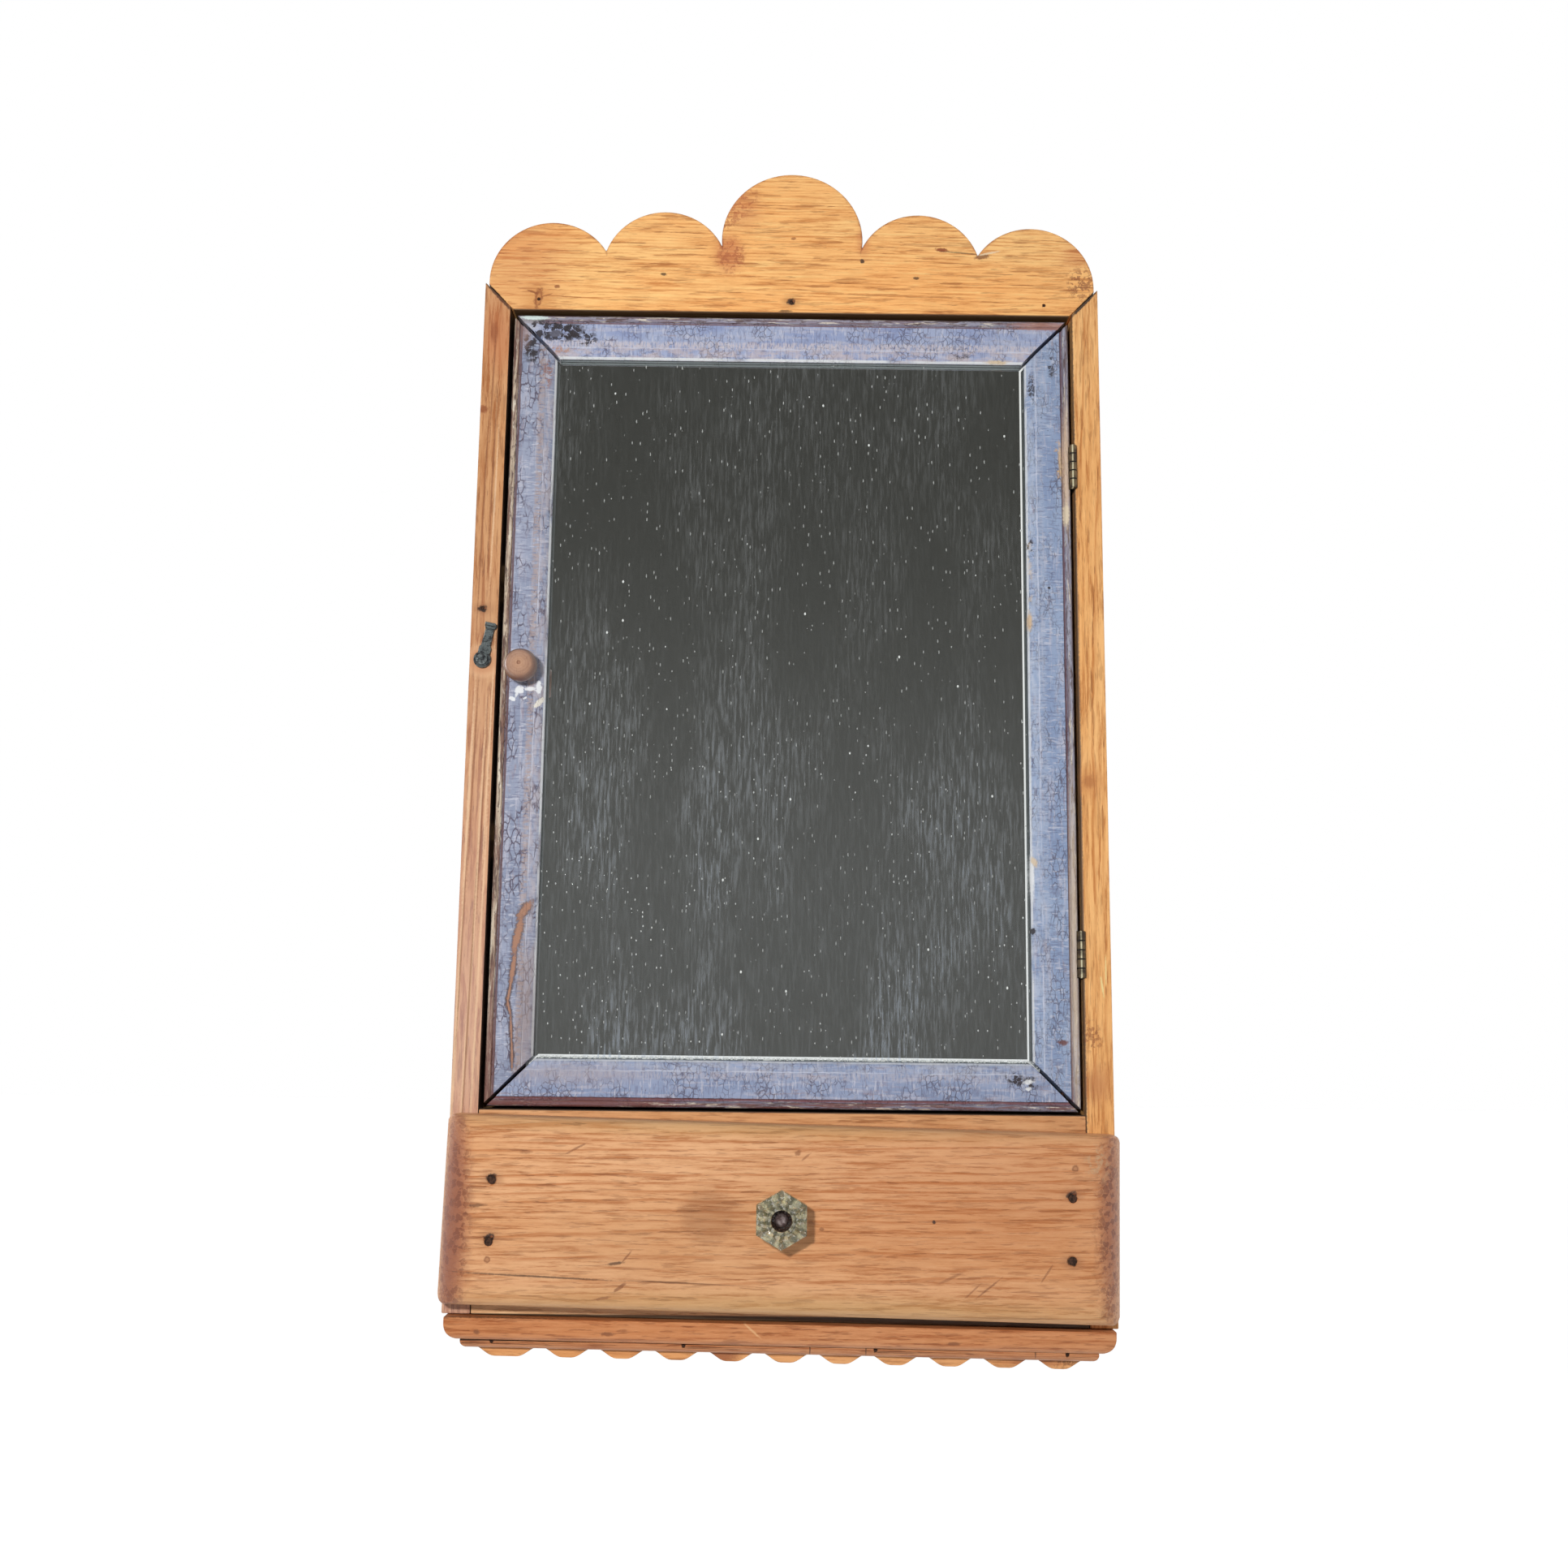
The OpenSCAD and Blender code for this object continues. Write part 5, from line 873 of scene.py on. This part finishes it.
# The film is the wiped haze together with a bluish tint that grows towards the foot; that tint is painted reflection.
haze_and_reflection_tint = calc("ADD", times(haze, 0.26), ramp(up, -0.34, -0.05, 0.07, 0.015), clamp=True)
plug(mix(dust, mix(haze_and_reflection_tint, (232, 234, 230), (88, 142, 200)), (226, 230, 226)), surface, "Base Color")
plug(minus(1.0, calc("MAXIMUM", times(dust, 0.8), haze_and_reflection_tint)), surface, "Metallic")
plug(calc("ADD", times_plus(haze, 0.10, 0.03), times(dust, 0.6)), surface, "Roughness")
finish_in(frame["nodes"]["mirror_glass"], mirror)
print("mirror finish:", len(mirror.node_tree.nodes), "nodes")

# %% [markdown]
# ## Brass, iron and steel
#
# The hinges are brass that has gone olive and brown, with a bright line down the knuckles that is a painted
# highlight. The turn button is black cast iron with a grey-green bloom, and the nails are rusty steel. All are
# one recipe: a metal whose colour and roughness change with a cloud of noise. Dirt sits in the seams between
# the knuckles, so dark bands are laid there.

# %% Metals
def old_metal(name, bright, dull, metallic, rough, grains=400, depth=0.0001, seams=(), highlight_x=None):
    """Metal that noise turns from bright to dull, and pits. seams are heights in mm where dirt makes a dark line,
    and rubbed is the x of a painted highlight line."""
    material, surface, place = new_material(name)
    cloud = noise(place, grains, 4, 0.65)
    colour = mix(ramp(cloud, 0.38, 0.62), dull, bright)
    side, _, up = xyz(place)

    def near(value, line, core):
        """A mask that is 1 within a core about a line, and 0 from 0.6 mm on."""
        return ramp(calc("ABSOLUTE", minus(value, mm(line))), core, 0.0006, 1.0, 0.0)

    # A painted highlight: a bright line down the knuckles at one x.
    if highlight_x:
        painted_shine = times(near(side, highlight_x, 0.0001), ramp(cloud, 0.35, 0.55, 0.3, 1.0))
        colour = mix(painted_shine, colour, (236, 228, 192))
    for z in seams:
        colour = mix(near(up, z, 0.0002), colour, (26, 20, 16))
    plug(colour, surface, "Base Color")
    plug(ramp(cloud, 0.35, 0.65, metallic * 0.5, metallic), surface, "Metallic")
    plug(ramp(cloud, 0.35, 0.65, rough + 0.2, rough), surface, "Roughness")
    bump(surface, noise(place, grains * 3, 4, 0.7), depth)
    return material


# In mm: the length of a knuckle, the top of each hinge, and the x of the painted highlight line.
KNUCKLE, HINGE_TOPS, HINGE_HIGHLIGHT_X = 4.8, (-53.4, -319.6), 154.9
hinge_brass = old_metal("aged brass", (112, 94, 66), (52, 40, 30), 0.5, 0.42, 150, highlight_x=HINGE_HIGHLIGHT_X,
                        seams=[top - KNUCKLE * step for top in HINGE_TOPS for step in range(1, 5)])
cast_iron = old_metal("cast iron", (122, 130, 130), (50, 52, 54), 0.75, 0.36, 500, 0.0002)
bolt_iron = old_metal("brown bolt", (150, 136, 134), (84, 66, 64), 0.7, 0.3, 500, 0.0001)
rusty_steel = old_metal("rusty steel", (74, 50, 38), (40, 28, 22), 0.0, 0.85, 900, 0.0002)
finish_in(set_nails, rusty_steel)
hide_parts("base_nails")
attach(set_nails, frame["nodes"]["base_nails"]["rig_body"])
for node, piece in frame["nodes"].items():
    if "hinge" in node:
        finish_in(piece, hinge_brass)
    elif node != "base_nails" and (node.endswith(("nails", "brads")) or node == "door_knob_screw"):
        finish_in(piece, rusty_steel)
    elif node == "latch_screw":
        finish_in(piece, cast_iron)
    elif node.startswith("glass_knob_"):
        finish_in(piece, bolt_iron)
print("metals finished")

# %% [markdown]
# ## The turned wooden knob
#
# The knob was turned on a lathe, and its CAD shape is the turned shape, so it keeps its mesh. A turned end shows
# the growth rings as circles round the middle. The face darkens towards its rim as painted shade of the rounding,
# a paler zone about the middle is a painted highlight, and the very middle is darker where a small dimple stays
# from the lathe's centre. The distance from the knob's own axis draws all of them.

# %% Knob wood
KNOB_X, KNOB_Z = (sum(corner[axis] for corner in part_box("door_knob")) / 2 for axis in (0, 2))
knob_wood, surface, place = pine("turned knob wood", "y", (-60, 0, -190), 1.1, (160, 124, 102), wander=2, fleck=0.3,
                                 rough=0.4, line_share=0.25, grain=0.2, coat=0.35, depth=0.0001)
off_axis = from_axis(place, KNOB_X, KNOB_Z)
ringed = calc("FRACT", times_plus(noise(place, 200, 2, 0.5), 0.8, times(off_axis, 700.0)))
colour = surface.inputs["Base Color"].links[0].from_socket
# Growth rings, painted shade towards the rim, a painted highlight about the middle, and a dark spot at the dimple.
for share, tint in ((ramp(ringed, 0.55, 1.0, 0.0, 0.28), (120, 76, 58)),
                    (ramp(off_axis, 0.0056, 0.0086, 0.0, 0.85), (96, 62, 50)),
                    (ramp(off_axis, 0.001, 0.006, 0.35, 0.0), (210, 164, 130)),
                    (ramp(off_axis, 0.0004, 0.0014, 0.4, 0.0), (112, 70, 54))):
    colour = mix(share, colour, tint)
plug(colour, surface, "Base Color")
finish_in(frame["nodes"]["door_knob"], knob_wood)
print("knob axis at", round(KNOB_X, 4), round(KNOB_Z, 4))

# %% [markdown]
# ## The cast turn button
#
# The real button is one iron casting: a round boss with a raised rim about the screw, two small shoulders, a
# narrower arm with a long raised panel, and an end that widens and stands up as a nib for the thumb. It could
# be a profile pushed out flat, but then it would catch no light. So it is shaped from a primitive cylinder and
# a primitive cube, face by face, lying along X at the origin, and its rounded edges come from a Bevel modifier.
# Last it is turned to its stored angle on its screw, and its place is applied to the mesh.

# %% Turn button helpers
import bmesh


def pick(piece, kind, test):
    """In edit mode, selects just the faces or edges whose middle and direction pass the test."""
    bpy.ops.mesh.select_mode(type=kind)
    bpy.ops.mesh.select_all(action="DESELECT")
    body = bmesh.from_edit_mesh(piece.data)
    if kind == "FACE":
        for face in body.faces:
            face.select_set(test(face.calc_center_median(), face.normal))
    else:
        for edge in body.edges:
            ends = [vert.co for vert in edge.verts]
            edge.select_set(test((ends[0] + ends[1]) / 2, (ends[1] - ends[0]).normalized()))
    bmesh.update_edit_mesh(piece.data)


def start_piece(name, primitive, **settings):
    """Deselects everything, adds a primitive with its place in its mesh, and goes into edit mode."""
    bpy.ops.object.select_all(action="DESELECT")
    getattr(bpy.ops.mesh, "primitive_" + primitive + "_add")(**settings)
    piece = bpy.context.active_object
    piece.name = piece.data.name = name
    bpy.ops.object.transform_apply(location=True, rotation=True, scale=True)
    bpy.ops.object.mode_set(mode="EDIT")
    return piece


def grow(offset, stretch=(1, 1, 1)):
    """Extrudes the picked faces by an offset in mm, then resizes what was picked."""
    bpy.ops.mesh.extrude_region_move(TRANSFORM_OT_translate={"value": mm(*offset)})
    bpy.ops.transform.resize(value=stretch)


def finish_shape(piece, width, segments, angle, smooth=40):
    """Leaves edit mode, rounds the sharp edges and smooths the shading."""
    bpy.ops.mesh.select_all(action="SELECT")
    bpy.ops.mesh.remove_doubles(threshold=SAME_POINT)
    bpy.ops.mesh.normals_make_consistent(inside=False)
    bpy.ops.object.mode_set(mode="OBJECT")
    round_edges(piece, width, segments, angle)
    bpy.ops.object.shade_smooth_by_angle(angle=math.radians(smooth))
    print(piece.name, "has", len(piece.data.polygons), "faces")


# %% Turn button
STORED_TURN = 78  # degrees from level to the arm, as the CAD holds it: upright, clear of the door
boss = start_piece("cast_turn_button", "cylinder", vertices=40, radius=mm(4.6), depth=mm(2.6), location=mm(0, 0, 1.3))
pick(boss, "FACE", lambda middle, normal: normal.z > 0.9)
bpy.ops.mesh.inset(thickness=mm(0.5))
bpy.ops.mesh.inset(thickness=mm(0.4))
bpy.ops.transform.translate(value=mm(0, 0, -0.4))
finish_shape(boss, 0.25, 2, 40)

arm = start_piece("arm", "cube", size=mm(1), location=mm(5, 0, 1.2), scale=(3.2, 6.6, 2.4))
pick(arm, "FACE", lambda middle, normal: normal.x > 0.9)
for step, width in ((1.2, 0.76), (4.6, 0.94), (4.6, 0.98), (1.2, 1.34), (1.9, 1.0)):
    grow((step, 0, 0), (1, width, 1))
pick(arm, "FACE", lambda middle, normal: normal.z > 0.9 and middle.x > mm(18.2))
grow((0.3, 0, 1.6), (0.9, 0.92, 1))
grow((-0.3, 0, 1.2), (0.7, 0.8, 1))
pick(arm, "FACE", lambda middle, normal: normal.z > 0.9 and mm(8) < middle.x < mm(17))
bpy.ops.mesh.inset(thickness=mm(0.9))
bpy.ops.transform.translate(value=mm(0, 0, 0.45))
bpy.ops.mesh.inset(thickness=mm(0.5))
bpy.ops.transform.translate(value=mm(0, 0, -0.25))
finish_shape(arm, 0.35, 3, 30)

pick_only(boss)
arm.select_set(True)
bpy.ops.object.join()
button = bpy.context.active_object
latch_low, latch_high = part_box("turn_button")
screw_low, screw_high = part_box("latch_screw")
turn = math.radians(STORED_TURN)
axes = Matrix(((math.cos(turn), 0, math.sin(turn)), (-math.sin(turn), 0, math.cos(turn)), (0, -1, 0))).transposed()
pivot = Vector(((screw_low[0] + screw_high[0]) / 2, latch_high[1], (screw_low[2] + screw_high[2]) / 2))
button.matrix_world = Matrix.Translation(pivot) @ axes.to_4x4()
pick_only(button)
bpy.ops.object.transform_apply(location=True, rotation=True, scale=True)
finish_in(button, cast_iron)
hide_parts("turn_button")
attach(button, frame["nodes"]["turn_button"]["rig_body"])
print("turn button pivots at", [round(value, 4) for value in pivot])

# %% [markdown]
# ## The pressed glass knob
#
# Pressed glass comes from an iron mould, so the knob has six flat sides, a belt of sloping facets with ribs
# that run to the corners, a round rim about the bolt's recess, and a round neck with a foot against the wood.
# A lathe can't make it and a plain hexagon lacks its sparkle. So a six-sided cylinder is cut into many
# segments, insets make each belt, points of a belt are pushed in to leave ridges and ribs, and To Sphere turns
# the inner loops round. The glass is olive, and partly cloudy, so it passes most light and scatters the rest.

# %% Glass knob
glass_low, glass_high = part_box("glass_knob")
KNOB_UP = (glass_low[2] + glass_high[2]) / 2
FACE_Y = glass_high[1] * 1000
knob = start_piece("pressed_glass_knob", "cylinder", vertices=6, radius=mm(14.3), depth=mm(5.5),
                   location=(0, mm(FACE_Y - 14.75), KNOB_UP), rotation=(math.radians(90), 0, 0))
pick(knob, "EDGE", lambda middle, along: abs(along.y) < 0.5)
bpy.ops.mesh.subdivide(number_cuts=5)


def front(middle, normal):
    """The one face that looks at the viewer."""
    return normal.y < -0.9 and Vector((middle.x, 0, middle.z - KNOB_UP)).length < mm(1)


def push_points(depth, low, high, test):
    """Pushes the points of a ring, between two distances from the axis, whose count from the top passes the test."""
    body = bmesh.from_edit_mesh(knob.data)
    ring = [vert for vert in body.verts if low < math.hypot(vert.co.x, vert.co.z - KNOB_UP) * 1000 < high
            and vert.co.y * 1000 < FACE_Y - 15]
    ring.sort(key=lambda vert: (math.atan2(vert.co.x, vert.co.z - KNOB_UP) + 0.01) % math.tau)
    bpy.ops.mesh.select_mode(type="VERT")
    bpy.ops.mesh.select_all(action="DESELECT")
    for count, vert in enumerate(ring):
        vert.select_set(test(count))
    bmesh.update_edit_mesh(knob.data)
    bpy.ops.transform.translate(value=mm(0, depth, 0))
    return len(ring)


def make_round(radius):
    """Turns the picked loop into a circle of this radius about the knob's axis."""
    bpy.ops.transform.tosphere(value=1.0)
    loop = [vert.co for vert in bmesh.from_edit_mesh(knob.data).verts if vert.select]
    size = max(math.hypot(point.x, point.z - KNOB_UP) for point in loop)
    bpy.ops.transform.resize(value=(mm(radius) / size, 1, mm(radius) / size))


pick(knob, "FACE", front)
bpy.ops.mesh.inset(thickness=mm(3.4))
bpy.ops.transform.translate(value=mm(0, -3.0, 0))
grow((0, 0.9, 0))
make_round(7.2)
grow((0, -0.9, 0))
make_round(6.6)
grow((0, -0.25, 0), (0.9, 1, 0.9))
grow((0, 0.35, 0))
make_round(5.2)
grow((0, 4.9, 0), (0.92, 1, 0.92))
pick(knob, "FACE", lambda middle, normal: normal.y > 0.9)
grow((0, 0.0, 0))
make_round(8.0)
grow((0, 1.0, 0), (0.9, 1, 0.9))
grow((0, 6.2, 0))
grow((0, 3.0, 0), (1.25, 1, 1.25))
grow((0, 1.75, 0))
rings = [push_points(0.5, 8.9, 10.6, lambda count: count % 6 != 0),
         push_points(0.7, 8.9, 10.6, lambda count: count % 2),
         push_points(0.7, 12.3, 15, lambda count: count % 2)]
print("ring points:", rings)
finish_shape(knob, 0.12, 1, 20, smooth=14)

# %% Olive glass
BOLT_HOLE, HOLE_FLOOR = (0.0051, 0.0054), (-0.1796, -0.1790)  # the recess's radius and depth y, in metres
FLUTES = 12
glass, surface, place = new_material("olive glass", **{
    "Base Color": seen(176, 180, 132), "Transmission Weight": 0.74, "IOR": 1.5, "Metallic": 0.0})
x, y, z = xyz(place)
angle = calc("ARCTAN2", x, minus(z, KNOB_UP))
turned = times_plus(angle, FLUTES / math.tau, times(noise(place, 210, 2, 0.5), 1.3))
# The flutes shape the bump, and in the colour their ridges are painted highlights and their valleys painted shade.
flute_relief_and_shading = ramp(calc("PINGPONG", turned, 0.5), 0.12, 0.34)
# Darker patches: painted shade that stands in for dark refraction.
painted_refraction_shade = ramp(noise(place, 300, 4, 0.7), 0.42, 0.58)
# Small bright specks: painted glints.
painted_glints = ramp(noise(place, 560, 2, 0.6), 0.58, 0.62)
# The bolt's recess is darkened as painted shade.
recess_shade = times(ramp(from_axis(place, 0, KNOB_UP), *BOLT_HOLE, 1.0, 0.0), ramp(y, *HOLE_FLOOR))
colour = mix(times(flute_relief_and_shading, 0.75), (255, 250, 210), (80, 80, 50))
for share, tint in ((times(painted_refraction_shade, 0.5), (112, 114, 78)), (painted_glints, (252, 252, 240)), (recess_shade, (60, 42, 40))):
    colour = mix(share, colour, tint)
plug(colour, surface, "Base Color")
plug(ramp(noise(place, 420, 3, 0.6), 0.4, 0.7, 0.04, 0.16), surface, "Roughness")
bump(surface, calc("ADD", times(flute_relief_and_shading, -0.6), noise(place, 240, 1, 0.5)), 0.0005)
finish_in(knob, glass)
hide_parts("glass_knob")
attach(knob, frame["nodes"]["glass_knob"]["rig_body"])
print("glass knob finished")

# %% [markdown]
# ## Studio
#
# The cabinet hangs in a plain white studio. The floor lies well below it, as under a cabinet on a wall. A light
# world gives soft light from everywhere. The main lamp stands close to the camera, a little to its left and
# above it, so that the knobs throw their short shadows to the lower right as in the picture. Two side lamps
# stand behind the plane of the face and light only the sides. The mirror looks at a dark card behind the camera,
# which only reflections can see.

# %% Floor and world
FLOOR_Z = -1.1  # metres


def seen_straight(tree):
    """1 for what the camera sees itself, in a reflection or through glass, and 0 for light that falls on things."""
    path = add("LightPath", tree=tree).outputs
    return calc("MAXIMUM", path["Is Camera Ray"], calc("MAXIMUM", path["Is Glossy Ray"], path["Is Transmission Ray"]))


bpy.ops.object.select_all(action="DESELECT")
bpy.ops.mesh.primitive_plane_add(size=30, location=(0, 0, FLOOR_Z))
floor = bpy.context.active_object
floor.name = "floor"
white_floor, surface, _ = new_material("white floor", **{
    "Base Color": (0.86, 0.86, 0.86, 1), "Roughness": 0.9, "Emission Color": (0.7, 0.7, 0.7, 1)})
plug(seen_straight(white_floor.node_tree), surface, "Emission Strength")
finish_in(floor, white_floor)

world = bpy.data.worlds.new("studio")
bpy.context.scene.world = world
world.use_nodes = True
tree = world.node_tree
tree.nodes.clear()
light, shown = (add("Background", {"Color": (1, 1, 1, 1), "Strength": strength}, tree).outputs[0]
                for strength in (0.3, 1.0))
both = add("MixShader", {0: seen_straight(tree), 1: light, 2: shown})
add("OutputWorld", {"Surface": both.outputs[0]})
print("floor and world ready")

# %% Lamps and the dark card
def soft_lamp(name, place, target, size, watts):
    """A square soft lamp that faces a point."""
    lamp = bpy.data.objects.new(name, bpy.data.lights.new(name, "AREA"))
    bpy.context.scene.collection.objects.link(lamp)
    lamp.data.size, lamp.data.energy = size, watts
    lamp.location = place
    lamp.rotation_euler = (Vector(target) - Vector(place)).to_track_quat("-Z", "Y").to_euler()
    return lamp


key = soft_lamp("key lamp", (-0.20, -1.0, -0.22), (0, -0.1, -0.22), 0.06, 6.3)
key.visible_glossy = False
left_fill = soft_lamp("left lamp", (-2.2, 0.7, 0.2), (0, 0, -0.2), 1.0, 16)
right_fill = soft_lamp("right lamp", (2.2, 0.7, 0.2), (0, 0, -0.2), 1.0, 16)
bpy.ops.object.select_all(action="DESELECT")
bpy.ops.mesh.primitive_plane_add(size=1, location=(-0.375, -2.2, 0.15), rotation=(math.radians(90), 0, 0))
card = bpy.context.active_object
card.name = "dark_card"
card.scale = (2.25, 1.9, 1)
card.visible_camera = card.visible_diffuse = card.visible_shadow = card.visible_transmission = False
finish_in(card, new_material("dark card", **{"Base Color": seen(80, 80, 76), "Roughness": 1.0})[0])
bpy.context.scene.view_settings.view_transform = "Standard"
print("lamps and card ready")
